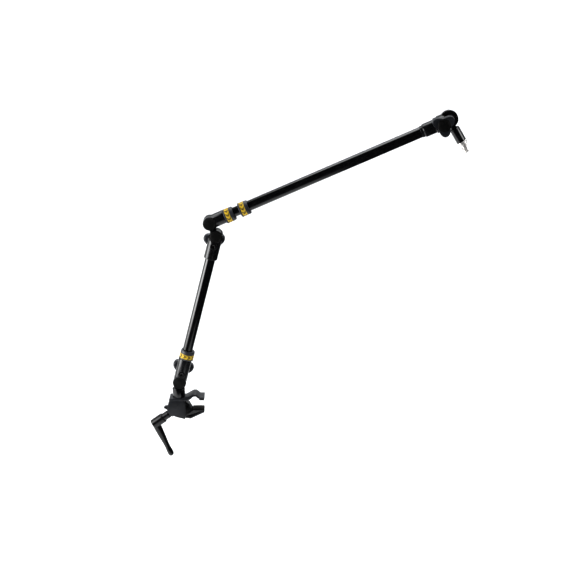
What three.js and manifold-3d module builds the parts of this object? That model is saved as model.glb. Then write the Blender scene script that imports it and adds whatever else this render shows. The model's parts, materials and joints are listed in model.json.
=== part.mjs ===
// Desk-clamp boom arm for a microphone: a cast clamp with a hook jaw and a clamping lever, a post,
// a lower arm, a double elbow, a telescopic boom and a tip joint that ends in a thread adapter.
// Millimetres, +Z up. The boom reaches towards +X and every arm hinge turns about Y.
// The origin is the centre of the pad under the hook, where the clamp meets the table top.
import * as THREE from 'three';
import { mergeVertices } from 'three/addons/utils/BufferGeometryUtils.js';
import Module from 'manifold-3d';

const wasm = await Module();
wasm.setup();

// ---------------------------------------------------------------- driving dimensions
const GAP = 0.3; // running clearance between neighbouring pieces
const ROUND = 20; // sides of a large turned piece
const SMALL_ROUND = 12; // sides of a pin or a bolt
const radians = THREE.MathUtils.degToRad;

// Pose of the arm as it stands, as lean from the vertical towards +X.
const LOWER_LEAN = radians(14.3);
const LINK_LEAN = radians(-23.8);
const BOOM_LEAN = radians(66.2);
const TIP_LEAN = radians(149.4);

// The base hinge and the distances between the hinge axes.
const BASE_HINGE_X = 0.5;
const BASE_HINGE_Z = 46;
const LOWER_LENGTH = 360.5;
const LINK_LENGTH = 33.2;
const BOOM_LENGTH = 575.4;

// Clamp casting. The post stands a little behind the base hinge.
const POST_X = -2.5;
const POST_RADIUS = 14.4;
const STUD_RADIUS = 8;
const PAD_CENTRE_X = 51;
const PAD_BOTTOM = 4.1; // height of the table top
const PAD_THICKNESS = 3.5;
const HOOK_HALF = 16.8; // half of the hook's width along Y
const CHEEK_HALF = 16.2; // half of the width over the two cheeks
const CHANNEL_HALF = 11; // half of the space between them
const LEDGE_TOP = 8.5;
const LEDGE_BOTTOM = 2.5;
const TABLE_THICKNESS = 22; // what the jaws hold as modelled

// Clamping screw: its axis leans from the vertical and passes below the post.
const SCREW_LEAN = radians(54);
const SCREW_AXIS_Z = -16;
const SCREW_RADIUS = 5;
const LEVER_ROOT = -72; // along the screw axis
const LEVER_TILT = radians(102.4); // from the screw axis
const LEVER_REACH = 90;

// Hinge knuckles.
const FORK_RADIUS = 15.2;
const FORK_HALF = 13; // half width over the two cheeks
const TONGUE_HALF = 6;
const PIN_RADIUS = 4;
const CAP_RADIUS = 13.5;
const CAP_THICKNESS = 2.6;
const PINCH_OFFSET = 22; // from hinge axis to pinch bolt
const BOSS_FACE = 15.8;
const BOLT_RADIUS = 3.5;
const BOLT_HEAD_RADIUS = 6;

// Tubes and collars.
const LOWER_TUBE_RADIUS = 11.35;
const INNER_TUBE_RADIUS = 11;
const OUTER_TUBE_RADIUS = 11.8;
const OUTER_TUBE_BORE = 11.25;
const TUBE_WALL = 1.5;
const NECK_RADIUS = 12.8;
const COLLAR_LENGTH = 22;
const COLLAR_OFFSET = 1.4; // the grip of a collar is eccentric to its bore
const BASE_COLLAR_Z = 57.3;
const BOOM_COLLAR_Z = 36.6;
const CLUTCH_COLLAR_Z = 73;

// Knobs.
const KNOB_MEAN_RADIUS = 21.3;
const KNOB_LOBE = 5.2;
const KNOB_THICKNESS = 17;

// Tip joint and adapter, measured from the tip hinge.
const TIP_PINCH_OFFSET = 15.5;
const TIP_DISC_RADIUS = 20;
const TIP_TONGUE_RADIUS = 10.5;
const STUB_RADIUS = 11;
const STUB_START = 21.5;
const STUB_END = 54.5;
const ADAPTER_END = 81;

// ---------------------------------------------------------------- finishes
function finish(colour, roughness, metalness) {
  return new THREE.MeshStandardMaterial({ color: colour, roughness, metalness });
}

const glossBlack = finish(0x0b0c0f, 0.22, 0.4);
const castBlack = finish(0x15171c, 0.42, 0.4);
const slate = finish(0x3a3f4b, 0.5, 0.3);
const mattBlack = finish(0x08090a, 0.75, 0.0);
const collarGrey = finish(0x55585f, 0.45, 0.2);
const bandYellow = finish(0xd9c463, 0.5, 0.0);
const steel = finish(0x8e9196, 0.35, 1.0);
const nickel = finish(0xd8d6d2, 0.16, 1.0);
const rubber = finish(0x17110f, 0.85, 0.0);
const nylon = finish(0xc9c8c0, 0.6, 0.0);

// ---------------------------------------------------------------- making solids
// Reads a closed three.js geometry as a solid, turning its faces outwards if they point in.
function solid(geometry) {
  const bare = geometry.index ? geometry.toNonIndexed() : geometry.clone();
  bare.deleteAttribute('normal');
  bare.deleteAttribute('uv');
  const merged = mergeVertices(bare, 1e-4);
  const triVerts = new Uint32Array(merged.index.array);
  if (signedVolume(merged.attributes.position.array, triVerts) < 0) {
    triVerts.reverse();
  }
  const vertProperties = new Float32Array(merged.attributes.position.array);
  return new wasm.Manifold(new wasm.Mesh({ numProp: 3, vertProperties, triVerts }));
}

function signedVolume(points, triangles) {
  const [a, b, c] = [new THREE.Vector3(), new THREE.Vector3(), new THREE.Vector3()];
  let sum = 0;
  for (let i = 0; i < triangles.length; i += 3) {
    a.fromArray(points, 3 * triangles[i]);
    b.fromArray(points, 3 * triangles[i + 1]);
    c.fromArray(points, 3 * triangles[i + 2]);
    sum += a.dot(b.cross(c));
  }
  return sum;
}

// A piece turned about Z from [radius, z] points that start and end on the axis.
function turned(points, sides = ROUND) {
  const profile = points.map(([radius, z]) => new THREE.Vector2(radius, z));
  return solid(new THREE.LatheGeometry(profile, sides).rotateX(Math.PI / 2));
}

// A ring about Z: the outer profile, closed by the bore.
function ring(bore, outer, sides = ROUND) {
  const first = outer[0];
  const last = outer[outer.length - 1];
  return turned([[bore, first[1]], ...outer, [bore, last[1]], [bore, first[1]]], sides);
}

function rodZ(radius, z0, z1, sides = ROUND) {
  return turned([[0, z0], [radius, z0], [radius, z1], [0, z1]], sides);
}

// A round rod along Y through the point (x, z).
function rodY(radius, y0, y1, x = 0, z = 0, sides = ROUND) {
  const rod = new THREE.CylinderGeometry(radius, radius, y1 - y0, sides);
  return solid(rod.translate(x, (y0 + y1) / 2, z));
}

// A round rod along X through the point (y, z).
function rodX(radius, x0, x1, y = 0, z = 0, sides = SMALL_ROUND) {
  const rod = new THREE.CylinderGeometry(radius, radius, x1 - x0, sides);
  return solid(rod.rotateZ(Math.PI / 2).translate((x0 + x1) / 2, y, z));
}

function block(x0, x1, y0, y1, z0, z1) {
  const box = new THREE.BoxGeometry(x1 - x0, y1 - y0, z1 - z0);
  return solid(box.translate((x0 + x1) / 2, (y0 + y1) / 2, (z0 + z1) / 2));
}

// A plate of the given XZ outline from y0 to y1, with chamfered edges where bevel is over zero.
function plate(outline, y0, y1, bevel = 0) {
  const shape = new THREE.Shape(outline.map(([x, z]) => new THREE.Vector2(x, z)));
  const extruded = new THREE.ExtrudeGeometry(shape, {
    depth: y1 - y0 - 2 * bevel,
    steps: 1,
    bevelEnabled: bevel > 0,
    bevelThickness: bevel,
    bevelSize: bevel,
    bevelOffset: -bevel,
    bevelSegments: 1,
  });
  return solid(extruded.rotateX(Math.PI / 2).translate(0, y1 - bevel, 0));
}

const join = (first, ...others) => others.reduce((sum, piece) => sum.add(piece), first);
const cut = (first, ...others) => others.reduce((rest, piece) => rest.subtract(piece), first);

function part(name, manifold, material) {
  const { vertProperties, triVerts } = manifold.getMesh();
  const geometry = new THREE.BufferGeometry();
  geometry.setAttribute('position', new THREE.BufferAttribute(vertProperties, 3));
  geometry.setIndex(new THREE.BufferAttribute(triVerts, 1));
  const mesh = new THREE.Mesh(geometry, material);
  mesh.name = name;
  return mesh;
}

// A frame at (x, z) whose +Z leans towards the world's +X by the given angle.
function frame(x, z, lean, ...children) {
  const group = new THREE.Group();
  group.position.set(x, 0, z);
  group.rotation.y = lean;
  group.add(...children);
  return group;
}

// ---------------------------------------------------------------- clamp
// A point of the XZ plane from its place along the clamping screw and its height above it.
function alongScrew(s, height) {
  const [sin, cos] = [Math.sin(SCREW_LEAN), Math.cos(SCREW_LEAN)];
  return [sin * s - cos * height, SCREW_AXIS_Z + cos * s + sin * height];
}

const BOSS_OUTER = -30; // outer and inner face of the screw boss, along the screw
const BOSS_INNER = -23;
const BOSS_RADIUS = 10.5;
const JAW_TAIL = -2; // where the moving jaw's tail ends
const LOCK_Z = -0.6; // height of the set screw that holds the post's stud

function clampBody() {
  const footBottom = PAD_BOTTOM + PAD_THICKNESS + GAP;
  const hook = plate([
    [-23.8, LEDGE_BOTTOM], [17, LEDGE_BOTTOM], [26, 7.6], [31, 13.4], [37, 13.8],
    [44.5, footBottom], [57, footBottom], [57, 11.6], [46.5, 11.6], [38.5, 18.8], [31, 18.8],
    [14, LEDGE_TOP], [-23.8, LEDGE_TOP],
  ], -HOOK_HALF, HOOK_HALF, 0.8);
  const cheekOutline = [
    [-23.4, LEDGE_BOTTOM + 1], [-27.2, -5], [-28.5, -18], [-27, -28.4], [-9.3, -37.4],
    [12, -43], [14, -24], [13, -3], [9, LEDGE_BOTTOM + 1],
  ];
  const frontCheek = plate(cheekOutline, -CHEEK_HALF, -CHANNEL_HALF, 0.8);
  const rearCheek = plate(cheekOutline, CHANNEL_HALF, CHEEK_HALF, 0.8);
  const backWall = plate([
    [-23, LEDGE_BOTTOM + 1], [-26.7, -5], [-28, -18], [-26.5, -28.2], [-16.5, -33.4],
    alongScrew(BOSS_INNER, -5), alongScrew(BOSS_INNER, 9.5), [-21, -6], [-19, LEDGE_BOTTOM + 1],
  ], -CHANNEL_HALF - 1, CHANNEL_HALF + 1);
  const hood = plate([
    [-26, -14], [-37.5, -17], [-38.3, -20.5], [-33, -22], [-29.5, -26], [-26, -26],
  ], -5, 5, 0.8);
  const boss = alongScrewAxis(rodZ(BOSS_RADIUS, BOSS_OUTER, BOSS_INNER + 0.5));
  const socket = rodZ(10.6, -3.2, LEDGE_BOTTOM + 1).translate([POST_X, 0, 0]);
  const body = join(hook, frontCheek, rearCheek, backWall, hood, boss, socket);
  const screwHole = alongScrewAxis(rodZ(SCREW_RADIUS + 0.5, BOSS_OUTER - 8, BOSS_INNER + 8));
  const studHole = rodZ(STUD_RADIUS + 0.5, -6, LEDGE_TOP + 1).translate([POST_X, 0, 0]);
  const lockHole = rodX(3.4, -40, POST_X - 6, 0, LOCK_Z);
  return part('clamp_body', cut(body, screwHole, studHole, lockHole), slate);
}

// Lays a piece drawn along Z onto the clamping screw's axis.
function alongScrewAxis(piece) {
  return piece
    .rotate([0, THREE.MathUtils.radToDeg(SCREW_LEAN), 0])
    .translate([0, 0, SCREW_AXIS_Z]);
}

function hookPad() {
  const half = HOOK_HALF - 1;
  const [low, high] = [PAD_BOTTOM, PAD_BOTTOM + PAD_THICKNESS];
  const pad = plate([[45.3, low], [56.7, low], [56.7, high], [45.3, high]], -half, half);
  return part('hook_pad', pad, rubber);
}

const JAW_PAD_TOP = PAD_BOTTOM - TABLE_THICKNESS;
const JAW_SEAT_Z = JAW_PAD_TOP - 2.8;

function clampJaw() {
  const outline = [
    alongScrew(JAW_TAIL, 6.5), [0.6, -7.6], [9.5, -7.6], [11.5, -2.2], [13.5, -1.4], [22, -8],
    [29, JAW_SEAT_Z], [56.5, JAW_SEAT_Z], [56.5, -28], [24, -44], [8, -41.5],
    alongScrew(JAW_TAIL, -14),
  ];
  const half = CHANNEL_HALF - 0.5;
  const socket = alongScrewAxis(rodZ(SCREW_RADIUS + 0.5, JAW_TAIL - 8, JAW_TAIL + 9));
  return part('clamp_jaw', cut(plate(outline, -half, half, 0.8), socket), castBlack);
}

function jawPad() {
  const half = CHANNEL_HALF - 1.5;
  const [low, high] = [JAW_PAD_TOP - 2.5, JAW_PAD_TOP];
  const outline = [[30, high], [56, high], [56, low], [30, low]];
  return part('jaw_pad', plate(outline, -half, half), rubber);
}

// Pieces on the clamping screw, drawn along their own Z.
const SCREW_HEAD = -57.5;
const SLEEVE_END = -48;
const WEB_INNER = -58.5;
const WEB_OUTER = -62;
const CAP_SCREW_HEAD = -70;
const HUB_END = -79;
const HUB_RADIUS = 11.5;
const SPLINE_RADIUS = 7.4;

function clampScrew() {
  const screw = rodZ(SCREW_RADIUS, SCREW_HEAD, JAW_TAIL + 8.5);
  const thread = rodZ(3.4, SCREW_HEAD - 1, SCREW_HEAD + 12, SMALL_ROUND);
  return part('clamp_screw', cut(screw, thread), steel);
}

function leverBase() {
  const sleeve = ring(SCREW_RADIUS + GAP, [
    [SPLINE_RADIUS, SCREW_HEAD], [SPLINE_RADIUS, SLEEVE_END], [9, SLEEVE_END],
    [9, -34], [8.2, -33],
  ]);
  return part('lever_base', sleeve, castBlack);
}

function leverRetainingScrew() {
  const screw = turned([
    [0, CAP_SCREW_HEAD - 4], [6, CAP_SCREW_HEAD - 4], [6, CAP_SCREW_HEAD],
    [3, CAP_SCREW_HEAD], [3, SCREW_HEAD + 11], [0, SCREW_HEAD + 11],
  ], SMALL_ROUND);
  return part('lever_retaining_screw', screw, steel);
}

// The lever's hub slides over the splined sleeve; its arm leaves the hub nearly square to it.
function clampLever() {
  const hub = turned([
    [0, HUB_END], [HUB_RADIUS - 1.5, HUB_END], [HUB_RADIUS, HUB_END + 1.5],
    [HUB_RADIUS, SLEEVE_END - 1.3], [HUB_RADIUS - 1, SLEEVE_END - 0.3], [0, SLEEVE_END - 0.3],
  ]);
  const arm = turned([
    [0, 0], [9.3, 0], [9, 16], [7.2, 42], [5.9, 66], [6.7, 75], [6.7, 83],
    [4.8, 88], [0, LEVER_REACH],
  ], 16);
  const placedArm = arm
    .rotate([0, THREE.MathUtils.radToDeg(LEVER_TILT), 0])
    .translate([0, 0, LEVER_ROOT]);
  const sleeveBore = rodZ(SPLINE_RADIUS + 0.5, WEB_INNER, 0);
  const screwHole = rodZ(3.5, WEB_OUTER - 2, WEB_INNER + 2, SMALL_ROUND);
  const springBore = rodZ(8.5, HUB_END - 1, WEB_OUTER);
  return part('clamp_lever', cut(join(hub, placedArm), sleeveBore, screwHole, springBore), glossBlack);
}

function leverEndCap() {
  const cap = turned([[0, HUB_END - 1], [6.5, HUB_END - 0.6], [8.1, HUB_END + 0.4],
    [8.1, HUB_END + 1.6], [0, HUB_END + 1.6]]);
  return part('lever_end_cap', cap, mattBlack);
}

class Helix extends THREE.Curve {
  constructor(radius, z0, height, turns) {
    super();
    Object.assign(this, { radius, z0, height, turns });
  }

  getPoint(t, target = new THREE.Vector3()) {
    const angle = 2 * Math.PI * this.turns * t;
    const z = this.z0 + this.height * t;
    return target.set(this.radius * Math.cos(angle), this.radius * Math.sin(angle), z);
  }
}

// Returns the lever to its splines; drawn short, as when the lever is lifted.
function leverSpring() {
  const wire = new THREE.Shape().absarc(0, 0, 0.55, 0, 2 * Math.PI);
  const coil = new THREE.ExtrudeGeometry(wire, {
    steps: 24,
    curveSegments: 3,
    bevelEnabled: false,
    extrudePath: new Helix(4.9, CAP_SCREW_HEAD + 0.9, 3, 2.5),
  });
  return part('lever_spring', solid(coil), steel);
}

// The socket set screw that holds the post's stud.
function studSetScrew() {
  const screw = rodX(3, -24.6, POST_X - STUD_RADIUS - GAP, 0, LOCK_Z);
  const socket = rodX(1.6, -26, -20, 0, LOCK_Z, 6);
  return part('stud_set_screw', cut(screw, socket), steel);
}

// ---------------------------------------------------------------- knuckle pieces
// A disc with a neck that fits between the cheeks of a fork, about the Y axis.
function tongueDisc(radius = FORK_RADIUS - 0.4) {
  return rodY(radius, -TONGUE_HALF, TONGUE_HALF);
}

const pinHole = () => rodY(PIN_RADIUS + 0.4, -20, 20, 0, 0, SMALL_ROUND);

// A fork whose hinge is at the origin, with its sleeve along +Z up to the given length.
function forkBlank(length, neckLength) {
  const sleeve = turned([
    [0, 0], [FORK_RADIUS, 0], [FORK_RADIUS, length], [NECK_RADIUS, length],
    [NECK_RADIUS, length + neckLength], [0, length + neckLength],
  ]);
  const head = rodY(FORK_RADIUS, -FORK_RADIUS, FORK_RADIUS);
  const flats = join(
    block(-20, 20, -20, -FORK_HALF, -20, 13.5),
    block(-20, 20, FORK_HALF, 20, -20, 13.5),
  );
  const slot = join(
    block(-20, 20, -TONGUE_HALF - GAP, TONGUE_HALF + GAP, -20, 8.3),
    rodY(FORK_RADIUS + 0.4, -TONGUE_HALF - GAP, TONGUE_HALF + GAP),
  );
  return cut(join(sleeve, head), flats, slot, pinHole());
}

// The slit, the two bosses and the hole of the pinch bolt.
function withPinch(fork) {
  const boss = rodY(8, -BOSS_FACE, BOSS_FACE, 0, PINCH_OFFSET);
  const pocket = rodY(FORK_RADIUS + 0.4, -TONGUE_HALF - GAP, TONGUE_HALF + GAP);
  const slit = block(-20, 20, -1.5, 1.5, 0, 35);
  const hole = rodY(BOLT_RADIUS + 0.4, -20, 20, 0, PINCH_OFFSET, SMALL_ROUND);
  const counterbore = rodY(BOLT_HEAD_RADIUS + 0.4, -20, -10.2, 0, PINCH_OFFSET);
  return cut(join(fork, boss), pocket, slit, hole, counterbore);
}

function withTubeBore(fork, tubeRadius, start, end) {
  return fork.subtract(rodZ(tubeRadius + 0.4, start, end + 1));
}

// The pin through a knuckle and the round cap on each of its cheeks.
function hingeSet(prefix) {
  const pin = rodY(PIN_RADIUS, -FORK_HALF + 0.2, FORK_HALF - 0.2, 0, 0, SMALL_ROUND);
  const start = FORK_HALF + GAP;
  const cap = (side) => {
    const profile = [[0, 0], [CAP_RADIUS, 0], [CAP_RADIUS, 1.6], [CAP_RADIUS - 1, CAP_THICKNESS],
      [0, CAP_THICKNESS]];
    return turned(profile).rotate([-90 * side, 0, 0]).translate([0, side * start, 0]);
  };
  return [
    part(`${prefix}_hinge_pin`, pin, steel),
    part(`${prefix}_cap_front`, cap(-1), mattBlack),
    part(`${prefix}_cap_rear`, cap(1), mattBlack),
  ];
}

// A bolt along Y whose hexagon-socket head is at headY and whose shank ends at tipY.
function socketBolt(name, headY, tipY, z) {
  const away = Math.sign(tipY - headY);
  const [headLow, headHigh] = [headY, headY + away * 4.7].sort((a, b) => a - b);
  const [shankLow, shankHigh] = [headY + away * 2, tipY].sort((a, b) => a - b);
  const head = rodY(BOLT_HEAD_RADIUS, headLow, headHigh, 0, z);
  const shank = rodY(BOLT_RADIUS, shankLow, shankHigh, 0, z, SMALL_ROUND);
  const socket = rodY(3.4, headY - 3, headY + 3, 0, z, 6);
  return part(name, cut(join(head, shank), socket), steel);
}

// ---------------------------------------------------------------- knobs and collars
// A three-lobed knob on a bolt along Y: side is -1 in front of the arm and 1 behind it.
function knob(prefix, faceY, side, z, turn) {
  const outline = [];
  const steps = 30;
  for (let i = 0; i < steps; i += 1) {
    const angle = (2 * Math.PI * i) / steps;
    const radius = KNOB_MEAN_RADIUS + KNOB_LOBE * Math.cos(3 * (angle - turn));
    outline.push([radius * Math.cos(angle), z + radius * Math.sin(angle)]);
  }
  const near = side * faceY;
  const far = side * (faceY + KNOB_THICKNESS);
  const [low, high] = [near, far].sort((a, b) => a - b);
  const bore = side * (faceY + 13);
  const [boreLow, boreHigh] = [near - side, bore].sort((a, b) => a - b);
  const seat = side * (faceY + KNOB_THICKNESS - 1.8);
  const [seatLow, seatHigh] = [seat, far + side].sort((a, b) => a - b);
  const body = cut(
    plate(outline, low, high, 2.5),
    rodY(BOLT_RADIUS + 0.4, boreLow, boreHigh, 0, z, SMALL_ROUND),
    rodY(14.6, seatLow, seatHigh, 0, z),
  );
  const cap = turned([[0, 0], [14.2, 0], [14.2, 1.6], [12.7, 2.6], [0, 3.2]])
    .rotate([-90 * side, 0, 0])
    .translate([0, seat + side * GAP, z]);
  return [part(`${prefix}_knob`, body, slate), part(`${prefix}_knob_cap`, cap, castBlack)];
}

// A collar with a coloured band let into it, and a bore given as [radius, z] steps upwards.
function collar(name, bandName, z0, bore) {
  const z1 = z0 + COLLAR_LENGTH;
  const [bandStart, bandEnd] = [z0 + 3.6, z0 + 14.2];
  const grip = turned([
    [0, z0], [15.9, z0], [16.6, z0 + 0.8], [16.6, bandStart], [15.2, bandStart], [15.2, bandEnd],
    [16.2, bandEnd], [15.8, z1 - 1], [15, z1], [0, z1],
  ]).translate([COLLAR_OFFSET, 0, 0]);
  const hollow = turned([[0, z0 - 1], [bore[0][0], z0 - 1], ...bore, [0, bore[bore.length - 1][1]]]);
  const band = ring(15.6, [[16.3, bandStart + GAP], [16.3, bandEnd - GAP]])
    .translate([COLLAR_OFFSET, 0, 0]);
  return [part(name, cut(grip, hollow), collarGrey), part(bandName, band, bandYellow)];
}

// A union collar: it covers the fork's neck and its lip grips the tube.
function unionCollar(name, bandName, z0, tubeRadius) {
  const lip = z0 + 11.5;
  const [neckBore, tubeBore] = [NECK_RADIUS + 0.4, tubeRadius + 0.5];
  return collar(name, bandName, z0, [
    [neckBore, lip], [tubeBore, lip], [tubeBore, z0 + COLLAR_LENGTH + 1],
  ]);
}

// A tube along Z.
function tube(name, radius, bore, z0, z1, material) {
  return part(name, ring(bore, [[radius, z0], [radius, z1]]), material);
}

// ---------------------------------------------------------------- post
function post() {
  const column = turned([
    [0, LEDGE_TOP + GAP], [POST_RADIUS, LEDGE_TOP + GAP],
    [POST_RADIUS, BASE_HINGE_Z - 17], [POST_RADIUS - 1.2, BASE_HINGE_Z - 15.8],
    [0, BASE_HINGE_Z - 15.8],
  ]).translate([POST_X, 0, 0]);
  const neck = block(-11, 11, -TONGUE_HALF, TONGUE_HALF, BASE_HINGE_Z - 17, BASE_HINGE_Z - 4);
  const hinge = [BASE_HINGE_X, 0, BASE_HINGE_Z];
  const tongue = tongueDisc().translate(hinge);
  const bore = rodZ(5.4, LEDGE_TOP - 2, LEDGE_TOP + 14, SMALL_ROUND).translate([POST_X, 0, 0]);
  const hole = pinHole().translate(hinge);
  return part('post', cut(join(column, neck, tongue), bore, hole), glossBlack);
}

function postStud() {
  const stud = turned([
    [0, -4.4], [7, -4.4], [STUD_RADIUS, -3.4], [STUD_RADIUS, LEDGE_TOP],
    [5, LEDGE_TOP], [5, LEDGE_TOP + 13], [0, LEDGE_TOP + 13],
  ]);
  return part('post_stud', stud.translate([POST_X, 0, 0]), steel);
}

// ---------------------------------------------------------------- lower arm
const BASE_SLEEVE = 57;
const ELBOW_SLEEVE = 54.6;
const TUBE_INSERT = 39;

function lowerArm() {
  const baseFork = withTubeBore(
    withPinch(forkBlank(BASE_SLEEVE, 10)), LOWER_TUBE_RADIUS, TUBE_INSERT, BASE_SLEEVE + 10);
  const elbowFork = withTubeBore(
    withPinch(forkBlank(ELBOW_SLEEVE, 0)), LOWER_TUBE_RADIUS, TUBE_INSERT, ELBOW_SLEEVE);
  const bore = LOWER_TUBE_RADIUS - TUBE_WALL;
  const tubeEnd = LOWER_LENGTH - TUBE_INSERT - 1;
  const elbow = frame(0, LOWER_LENGTH, Math.PI,
    part('elbow_fork', elbowFork, castBlack),
    ...hingeSet('elbow'),
    socketBolt('elbow_pinch_bolt', -BOSS_FACE + 0.5, BOSS_FACE + 12, PINCH_OFFSET),
    ...knob('elbow', BOSS_FACE + GAP, 1, PINCH_OFFSET, radians(104)),
  );
  return [
    part('base_fork', baseFork, castBlack),
    ...hingeSet('base'),
    socketBolt('base_pinch_bolt', -BOSS_FACE + 0.5, BOSS_FACE + 12, PINCH_OFFSET),
    ...knob('base', BOSS_FACE + GAP, 1, PINCH_OFFSET, radians(29)),
    ...unionCollar('base_collar', 'base_band', BASE_COLLAR_Z, LOWER_TUBE_RADIUS),
    tube('lower_tube', LOWER_TUBE_RADIUS, bore, TUBE_INSERT + 1, tubeEnd, glossBlack),
    elbow,
  ];
}

// ---------------------------------------------------------------- elbow link
function elbowLink() {
  const web = block(-7.5, 7.5, -TONGUE_HALF, TONGUE_HALF, 4, LINK_LENGTH - 4);
  const far = [0, 0, LINK_LENGTH];
  const bone = join(tongueDisc(), tongueDisc().translate(far), web);
  return part('elbow_link', cut(bone, pinHole(), pinHole().translate(far)), castBlack);
}

// ---------------------------------------------------------------- boom
const BOOM_SLEEVE = 36.3;
const INNER_TUBE_END = 400;
const OUTER_TUBE_START = CLUTCH_COLLAR_Z + 11;
const TIP_SOCKET_START = -67; // from the tip hinge, back along the boom
const TIP_TUBE_END = -45;

function innerBoom() {
  const fork = withTubeBore(
    forkBlank(BOOM_SLEEVE, 10), INNER_TUBE_RADIUS, 24, BOOM_SLEEVE + 10);
  const bore = INNER_TUBE_RADIUS - TUBE_WALL;
  return [
    part('boom_fork', fork, castBlack),
    ...hingeSet('boom'),
    ...unionCollar('boom_collar', 'boom_band', BOOM_COLLAR_Z, INNER_TUBE_RADIUS),
    tube('inner_tube', INNER_TUBE_RADIUS, bore, 25, INNER_TUBE_END, glossBlack),
  ];
}

// A split ring that the clutch collar squeezes onto the inner tube.
function collet() {
  const [start, end] = [CLUTCH_COLLAR_Z + 2.5, OUTER_TUBE_START - 0.4];
  const blank = ring(INNER_TUBE_RADIUS + 0.4, [[12, start], [12.7, start + 2], [12.7, end]]);
  return part('boom_collet', blank.subtract(block(0, 20, -1.5, 1.5, start - 1, end + 1)), nylon);
}

function clutchCollar() {
  const [entry, seat] = [CLUTCH_COLLAR_Z + 2, OUTER_TUBE_START + 1.5];
  const [innerBore, outerBore] = [INNER_TUBE_RADIUS + 0.4, OUTER_TUBE_RADIUS + 0.4];
  return collar('clutch_collar', 'clutch_band', CLUTCH_COLLAR_Z, [
    [innerBore, entry], [13.1, entry], [13.1, seat], [outerBore, seat],
    [outerBore, CLUTCH_COLLAR_Z + COLLAR_LENGTH + 1],
  ]);
}

// The tip fork's front cheek is small; its rear cheek is a large disc.
function tipFork() {
  const socket = turned([
    [0, TIP_SOCKET_START], [12.9, TIP_SOCKET_START], [12.9, -61], [14.9, -59.5], [14.9, -34.5],
    [17.2, -33], [17.2, -8], [0, -8],
  ]);
  const flats = join(block(-30, 30, 14, 20, -60, 30), block(-30, 30, -20, -15, -60, 30));
  const frontCheek = join(rodY(13, -14, 4), block(-13, 13, -14, 4, -20, 0));
  const rearCheek = join(rodY(TIP_DISC_RADIUS, 4.3, 14), block(-16, 16, 4.3, 14, -24, 0));
  const boss = rodY(7.5, -17, 0, 0, -TIP_PINCH_OFFSET);
  const slot = join(
    block(-30, 30, -8.3, 4.3, -10.8, 30),
    rodY(TIP_TONGUE_RADIUS + 0.4, -8.3, 4.3),
    block(-30, 30, -3, 0, -30, 0),
  );
  return cut(
    join(cut(socket, flats), frontCheek, rearCheek, boss),
    slot,
    pinHole(),
    rodY(BOLT_RADIUS + 0.4, -20, 10, 0, -TIP_PINCH_OFFSET, SMALL_ROUND),
    rodZ(OUTER_TUBE_RADIUS + 0.35, TIP_SOCKET_START - 1, TIP_TUBE_END + 1),
  );
}

function outerBoom() {
  const tubeEnd = BOOM_LENGTH + TIP_TUBE_END;
  const pin = rodY(PIN_RADIUS, -13.8, 13.8, 0, 0, SMALL_ROUND);
  const bolt = rodY(BOLT_RADIUS, -BOSS_FACE - 12, 9.5, 0, -TIP_PINCH_OFFSET, SMALL_ROUND);
  return [
    tube('outer_tube', OUTER_TUBE_RADIUS, OUTER_TUBE_BORE, OUTER_TUBE_START, tubeEnd, glossBlack),
    collet(),
    ...clutchCollar(),
    frame(0, BOOM_LENGTH, 0,
      part('tip_fork', tipFork(), castBlack),
      part('tip_hinge_pin', pin, steel),
      part('tip_pinch_bolt', bolt, steel),
      ...knob('tip', 17.3, -1, -TIP_PINCH_OFFSET, radians(-14))),
  ];
}

// ---------------------------------------------------------------- tip
function tipKnuckle() {
  const tongue = rodY(TIP_TONGUE_RADIUS, -8, 4);
  const neck = block(-6, 6, -8, 4, 0, STUB_START + 1);
  const shoulder = turned([
    [0, STUB_START], [STUB_RADIUS - 0.8, STUB_START], [STUB_RADIUS, STUB_START + 0.8],
    [STUB_RADIUS, STUB_START + 3], [9.2, STUB_START + 3], [9.2, 38], [0, 38],
  ]);
  return part('tip_knuckle', cut(join(tongue, neck, shoulder), pinHole()), castBlack);
}

function tip() {
  const stud = turned([[0, 42], [9.2, 42], [9.2, STUB_END - 0.5], [4.76, STUB_END - 0.5],
    [4.76, 73], [0, 73]]);
  const flange = STUB_END + 7;
  const adapter = ring(5.15, [
    [10.6, STUB_END + GAP], [11.4, STUB_END + 1.1], [11.4, flange - 0.8], [10.6, flange],
    [7.94, flange], [7.94, ADAPTER_END - 1], [7.1, ADAPTER_END],
  ]);
  return [
    tipKnuckle(),
    tube('stub_tube', STUB_RADIUS, 9.6, STUB_START + 3.3, STUB_END, glossBlack),
    part('threaded_stud', stud, steel),
    part('thread_adapter', adapter, nickel),
  ];
}

// ---------------------------------------------------------------- assembly
const lean = (length, angle) => [length * Math.sin(angle), length * Math.cos(angle)];
const [elbowReach, elbowRise] = lean(LOWER_LENGTH, LOWER_LEAN);
const [linkX, linkRise] = lean(LINK_LENGTH, LINK_LEAN);
const [boomX, boomRise] = lean(BOOM_LENGTH, BOOM_LEAN);
const [elbowX, elbowZ] = [BASE_HINGE_X + elbowReach, BASE_HINGE_Z + elbowRise];
const [boomHingeX, boomHingeZ] = [elbowX + linkX, elbowZ + linkRise];

const arm = new THREE.Group();
arm.name = 'clamp_boom_arm';
arm.position.set(-PAD_CENTRE_X, 0, -PAD_BOTTOM);
arm.add(
  clampBody(),
  hookPad(),
  clampJaw(),
  jawPad(),
  studSetScrew(),
  frame(0, SCREW_AXIS_Z, SCREW_LEAN,
    clampScrew(), leverBase(), leverRetainingScrew(), clampLever(), leverEndCap(), leverSpring()),
  post(),
  postStud(),
  frame(BASE_HINGE_X, BASE_HINGE_Z, LOWER_LEAN, ...lowerArm()),
  frame(elbowX, elbowZ, LINK_LEAN, elbowLink()),
  frame(boomHingeX, boomHingeZ, BOOM_LEAN, ...innerBoom(), ...outerBoom()),
  frame(boomHingeX + boomX, boomHingeZ + boomRise, TIP_LEAN, ...tip()),
);

export default arm;
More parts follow.
